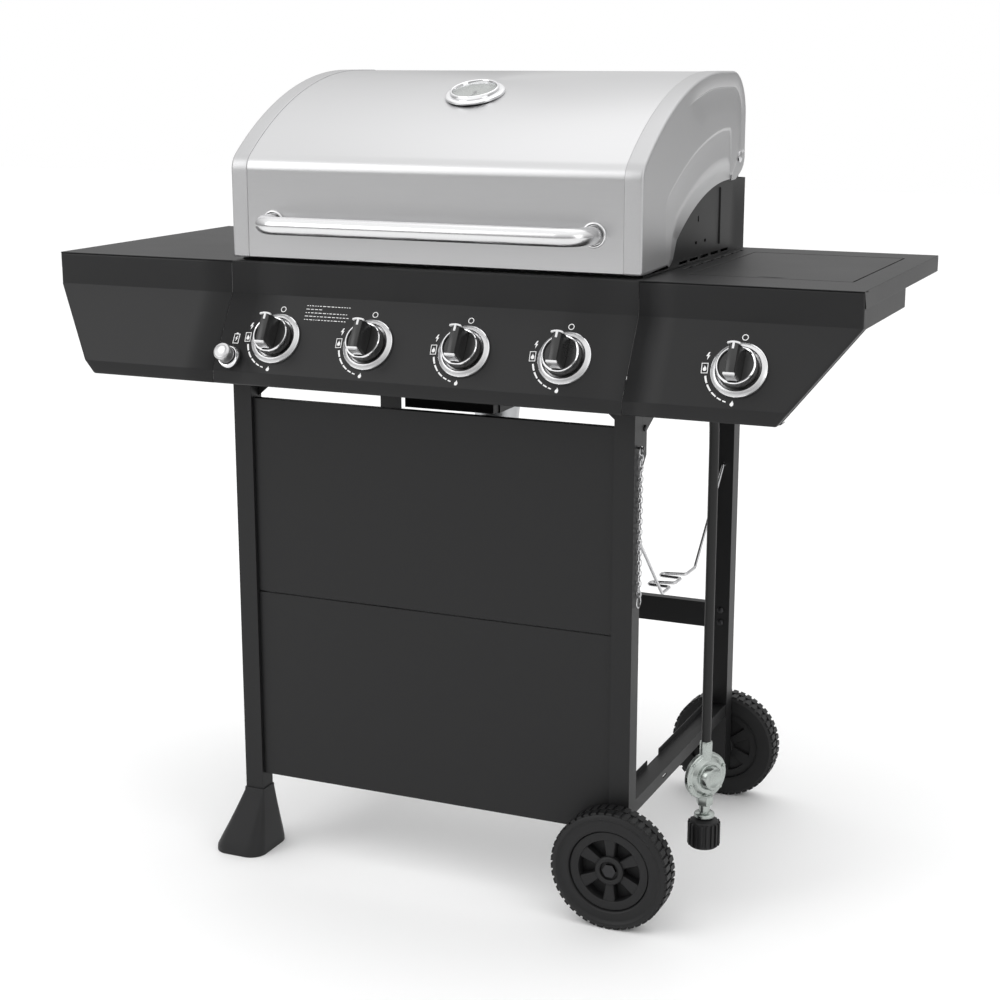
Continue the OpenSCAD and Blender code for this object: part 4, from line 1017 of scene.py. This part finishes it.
def wheel(name, body, stand, stands_for):
    bm = bmesh.new()
    for height, turn in ((0.0105, 0.0), (0.0285, math.pi / LUGS)):
        row = lugs.make(Count=LUGS, Radius=0.0832, Size=(0.0046, 0.0078, 0.0150), Height=height,
                        Turn=turn)
        row_mesh = bpy.data.meshes.new("row")
        row.to_mesh(row_mesh)
        row.free()
        bm.from_mesh(row_mesh)
        bpy.data.meshes.remove(row_mesh)
    lathe(bm, [(56, 2.5), (60, 0.4), (79, 0.4), (82.4, 2.6), (83.2, 5), (83.2, 17.6), (82, 18.4),
               (82, 20.6), (83.2, 21.4), (83.2, 34), (82.4, 36.4),
               (79, 38.6), (76.5, 38.8), (75.2, 38.0), (73, 36.2), (71.5, 36.0), (64, 37.6),
               (60.5, 37.8), (58.6, 36.6), (57.4, 33), (56.6, 27.5),
               (56, 26), (56, 2.5)], Matrix.Identity(4), 96)
    lathe(bm, [(6.05, 0), (16.4, 0), (17, 1), (17, 24), (20.5, 27), (21, 30.5), (20.6, 33.5),
               (18.8, 35), (14.6, 35), (13.4, 34), (13, 29.5),
               (6.05, 29.5), (6.05, 0)], Matrix.Identity(4), 64)
    lathe(bm, [(16.5, 14), (45, 14), (45, 16.5), (16.5, 16.5), (16.5, 14)], Matrix.Identity(4), 64)
    lathe(bm, [(44.5, 8), (57, 8), (57, 34.0), (56.2, 34.8), (46.2, 34.6), (45.0, 34.1),
               (44.5, 33.0), (44.5, 8)], Matrix.Identity(4), 96)
    spokes = 6
    for k in range(spokes):
        turn = Matrix.Rotation(2 * math.pi * (k + 0.5) / spokes, 4, "Z")
        section = []
        for r, half, high in ((16, 5.2, 31.0), (24, 6.2, 31.6), (34, 7.6, 32.4),
                              (45.4, 9.4, 33.2)):
            ring = [(-half, 8), (half, 8), (half, high - 1.6), (half - 1.6, high),
                    (-half + 1.6, high), (-half, high - 1.6)]
            section.append([turn @ mm(r, u, v) for u, v in ring])
        loft(bm, section)
    bmesh.ops.transform(bm, matrix=stand, verts=bm.verts)
    return bevel(piece(name, bm, body, wheel_plastic, (stands_for,), smooth=32),
                 0.5, 2, 40)


LEG_MID = 291.5
WHEEL_Z = WHEEL_R - WORKTOP_UP
front_wheel = wheel("front_wheel_made", "front_wheel", stand_at(LEG_MID, -9, WHEEL_Z, 90),
                    "wheel_front")
wheel("rear_wheel_made", "rear_wheel", stand_at(LEG_MID, 484, WHEEL_Z, -90), "wheel_rear")
print("wheels", len(front_wheel.data.polygons), "faces each")

# %% [markdown]
# A foot cap flares from the square leg to a long flat base. It is lofted from rounded rings.

# %% Mould the foot caps
def rounded_rect(y0, y1, x0, x1, radius, count=12):
    """Points round a rounded rectangle in plan."""
    ring = []
    for cx, cy, start in ((x1 - radius, y1 - radius, 0), (x0 + radius, y1 - radius, 90),
                          (x0 + radius, y0 + radius, 180), (x1 - radius, y0 + radius, 270)):
        for k in range(count + 1):
            a = math.radians(start + 90 * k / count)
            ring.append((cx + radius * math.cos(a), cy + radius * math.sin(a)))
    return ring


def foot(name, leg_y, inner, stands_for):
    middle = leg_y + 14.5
    bm = bmesh.new()
    rings = []
    levels = [(0, 1.0), (5, 1.0), (9, 0.985), (20, 0.86), (40, 0.62), (60, 0.39), (80, 0.17),
              (94, 0.02), (100, 0.0)]
    for z, flare in levels:
        x0 = -(306 + 2) - 42 * flare
        x1 = -inner + 2 + 6 * flare
        y0 = middle - 16.5 - 32 * flare
        y1 = middle + 16.5 + 32 * flare
        radius = 3 + 21 * flare
        rings.append([place(x, y, z - WORKTOP_UP) for x, y in rounded_rect(y0, y1, x0, x1,
                radius)])
    loft(bm, rings)
    return bevel(piece(name, bm, "cart_and_firebox", foot_plastic, stands_for,
                       smooth=30), 0.8, 2, 40)


foot("foot_front", -6.5, 277, ("foot_caps",))
foot("foot_rear", 452.5, 267, ())
print("foot caps moulded")

# %% [markdown]
# The gauge is a plated ring in two steps over a grey dial with a printed scale, a fine pointer
# and a glass.

# %% Make the gauge
tilt = math.radians(19.8417)
gauge_at = Matrix.Translation(place(0, 164.5, 1122.13 - WORKTOP_UP)) @ Matrix.Rotation(tilt, 4,
        "X")
bm = bmesh.new()
lathe(bm, [(2.2, 0.0), (41.4, 0.0), (42.6, 0.7), (43, 2.2), (42.6, 3.8), (41.2, 5.0), (38.8, 5.5),
           (36.4, 5.0), (35.6, 5.2), (35.3, 6.0),
           (35.1, 8.7), (34.4, 9.6), (33.3, 9.9), (32.2, 9.5), (31.5, 8.4), (31.05, 2.2),
           (2.2, 2.0), (2.2, 0.0)], gauge_at, 96)
lathe(bm, [(0, -60), (4.6, -60), (5, -59), (5, -0.2), (0, -0.2)], gauge_at, 32)
piece("gauge_ring", bm, "lid", chrome, ("gauge_case",), smooth=30)
spun("gauge_dial", "lid", "silver_paint", dial_face, gauge_at, 64, [(2.2, 2.05), (30.9, 2.05),
        (30.9, 2.5), (2.2, 2.5), (2.2, 2.05)])
bm = bmesh.new()
for k in range(41):
    a = math.radians(-225 + 270 * k / 40)
    long = 4.2 if k % 5 == 0 else 2.2
    tick = gauge_at @ Matrix.Rotation(a, 4, "Z")
    block(bm, (28.4 - long, -0.3 if k % 5 else -0.5, 2.45), (28.4, 0.3 if k % 5 else 0.5, 2.62),
          tick)
piece("gauge_scale", bm, "lid", black_plastic, smooth=30)
bm = bmesh.new()
slab(bm, [(-1.1, -6), (1.1, -6), (0.9, 2), (0.35, 22), (0, 24), (-0.35, 22), (-0.9, 2)], 3.3, 4.0,
     gauge_at @ Matrix.Rotation(math.radians(180), 4, "Z"))
lathe(bm, [(0, 0.5), (1.8, 0.5), (1.8, 3.0), (2.6, 3.1), (2.5, 4.3), (1.6, 4.8), (0, 4.9)],
      gauge_at, 24)
piece("gauge_pointer", bm, "needle", black_plastic, ("gauge_needle",), smooth=30)
print("gauge made")

# %% [markdown]
# The tank wire is a thin plated rod bent in one plane, with two fingers turned in. The chain
# beside the leg is made of links, each turned a quarter from the next. Both hang freely.

# %% Bend the tank wire and hang the chain
WIRE_HIGH, WIRE_LOW, FINGER = -334, -465, 257.5
wire_corners = (
    [(LEG_MID, 16.5, WIRE_HIGH), (LEG_MID, 28.5, WIRE_HIGH)]
    + [(x, y, WIRE_LOW) for x, y in (
        (LEG_MID, 161.5), (LEG_MID, 198.5), (FINGER, 198.5), (FINGER, 213.5), (LEG_MID, 220.5),
        (LEG_MID, 248.5), (FINGER, 250.5), (FINGER, 264.5), (LEG_MID, 272.5), (LEG_MID, 313.5))]
    + [(LEG_MID, 446.5, WIRE_HIGH), (LEG_MID, 458.5, WIRE_HIGH)])
bm = bmesh.new()
add_tube(bm, smooth_line([place(*p) for p in wire_corners], 6.5, 6), 2.3, 12)
piece("tank_wire_made", bm, "wire", plated, ("tank_wire",))


def chain_links(material):
    """Links hung one below another, each turned a quarter from the last."""
    tree = Making("hanging chain", {"Links": "Int", "Pitch": "Float", "Length": "Float",
                                    "Thickness": "Float"})
    line = tree.node("GeometryNodeMeshLine", {"mode": "OFFSET"}, {"Count": tree.size("Links")})
    drop = tree.node("ShaderNodeMath", {"operation": "MULTIPLY"}, {0: tree.size("Pitch"), 1: -1.0})
    step = tree.node("ShaderNodeCombineXYZ", {}, {"Z": drop.outputs[0]})
    tree.tree.links.new(step.outputs[0], line.inputs["Offset"])
    circle = tree.node("GeometryNodeCurvePrimitiveCircle", {}, {"Resolution": 14, "Radius": 1.0})
    half_length = tree.node("ShaderNodeMath", {"operation": "MULTIPLY"}, {0: tree.size("Length"),
            1: 0.5})
    half_width = tree.node("ShaderNodeMath", {"operation": "MULTIPLY"}, {0: tree.size("Length"),
            1: 0.3})
    shape = tree.node("ShaderNodeCombineXYZ", {}, {"X": half_width.outputs[0],
                                                   "Y": half_length.outputs[0], "Z": 1.0})
    oval = tree.node("GeometryNodeTransform", {}, {"Geometry": circle.outputs[0],
                                                   "Scale": shape.outputs[0],
                                                   "Rotation": (math.pi / 2, 0, 0)})
    wire = tree.node("GeometryNodeCurvePrimitiveCircle", {}, {"Resolution": 6,
            "Radius": tree.size("Thickness")})
    link = tree.node("GeometryNodeCurveToMesh", {}, {"Curve": oval.outputs[0],
                                                     "Profile Curve": wire.outputs[0]})
    number = tree.node("GeometryNodeInputIndex")
    quarter = tree.node("ShaderNodeMath", {"operation": "MULTIPLY"}, {0: number.outputs[0],
            1: math.pi / 2})
    turn = tree.node("ShaderNodeCombineXYZ", {}, {"Z": quarter.outputs[0]})
    hung = tree.node("GeometryNodeInstanceOnPoints", {}, {"Points": line.outputs[0],
            "Instance": link.outputs[0], "Rotation": turn.outputs[0]})
    tree.finish(hung.outputs[0], material)
    return tree


CHAIN_X, CHAIN_Y, CHAIN_TOP, CHAIN_DROP = 310, 8, -226, 208
bm = chain_links(plated).make(Links=27, Pitch=0.0072, Length=0.0108, Thickness=0.00085)
bmesh.ops.transform(bm, matrix=Matrix.Translation(place(CHAIN_X, CHAIN_Y, CHAIN_TOP - 9.4)),
                    verts=bm.verts)
for centre, size in ((CHAIN_TOP, 6), (CHAIN_TOP - CHAIN_DROP, 8)):
    turn = [2 * math.pi * k / 32 for k in range(33)]
    ring = [place(CHAIN_X, CHAIN_Y + size * math.cos(a), centre + size * math.sin(a))
            for a in turn]
    add_tube(bm, ring, 0.95, 8)
piece("match_chain_made", bm, "chain", plated, ("match_chain",))
print("wire and chain made")

# %% [markdown]
# The studio is a wide, flat pale floor, one large soft light from the front left, a weaker one
# from the right and one above. The world's light grows from the horizon upwards, so the steel
# shades along its curve, while the camera sees plain white behind the grill.

# %% Set up the studio
floor_paint = Finish("studio floor", base_color=(0.96, 0.96, 0.96, 1), roughness=0.7)
bm = bmesh.new()
strip(bm, [[Vector((x, y, 0.0)) for x in (-12, 0, 12)] for y in (-12, 0, 14)], flip=True)
floor_mesh = bpy.data.meshes.new("floor")
bm.to_mesh(floor_mesh)
bm.free()
floor = bpy.data.objects.new("floor", floor_mesh)
floor_mesh.materials.append(floor_paint.material)
bpy.context.scene.collection.objects.link(floor)


def soft_light(name, where, aim, width, height, power):
    lamp = bpy.data.lights.new(name, "AREA")
    lamp.shape = "RECTANGLE"
    lamp.size, lamp.size_y = width, height
    lamp.energy = power
    made = bpy.data.objects.new(name, lamp)
    made.location = where
    made.rotation_euler = (Vector(aim) - Vector(where)).to_track_quat("-Z", "Y").to_euler()
    bpy.context.scene.collection.objects.link(made)


soft_light("key", (-2.4, -3.0, 2.6), (0, 0, 0.7), 2.4, 2.4, 34)
soft_light("fill", (3.2, -1.6, 1.8), (0, 0, 0.6), 1.6, 2.4, 16)
soft_light("top", (0.2, 0.6, 3.4), (0, 0, 0.8), 2.6, 2.0, 6)
world = bpy.data.worlds.new("studio")
world.use_nodes = True
sky = world.node_tree
sky_light = sky.nodes["Background"]
sky_light.inputs[0].default_value = (1, 1, 1, 1)
ways = sky.nodes.new("ShaderNodeSeparateXYZ")
sky.links.new(sky.nodes.new("ShaderNodeTexCoord").outputs["Generated"], ways.inputs[0])
rise = sky.nodes.new("ShaderNodeMapRange")
for socket, value in (("From Min", 0.0), ("From Max", 0.8), ("To Min", 0.35), ("To Max", 1.35)):
    rise.inputs[socket].default_value = value
sky.links.new(ways.outputs["Z"], rise.inputs["Value"])
sky.links.new(rise.outputs[0], sky_light.inputs[1])
backdrop = sky.nodes.new("ShaderNodeBackground")
seen = sky.nodes.new("ShaderNodeLightPath")
either = sky.nodes.new("ShaderNodeMixShader")
sky.links.new(seen.outputs["Is Camera Ray"], either.inputs[0])
sky.links.new(sky_light.outputs[0], either.inputs[1])
sky.links.new(backdrop.outputs[0], either.inputs[2])
sky.links.new(either.outputs[0], sky.nodes["World Output"].inputs[0])
backdrop.inputs[0].default_value = (1, 1, 1, 1)
bpy.context.scene.world = world
bpy.context.scene.view_settings.view_transform = "Standard"
print("studio ready")

# %% Update the view layer
bpy.context.view_layer.update()
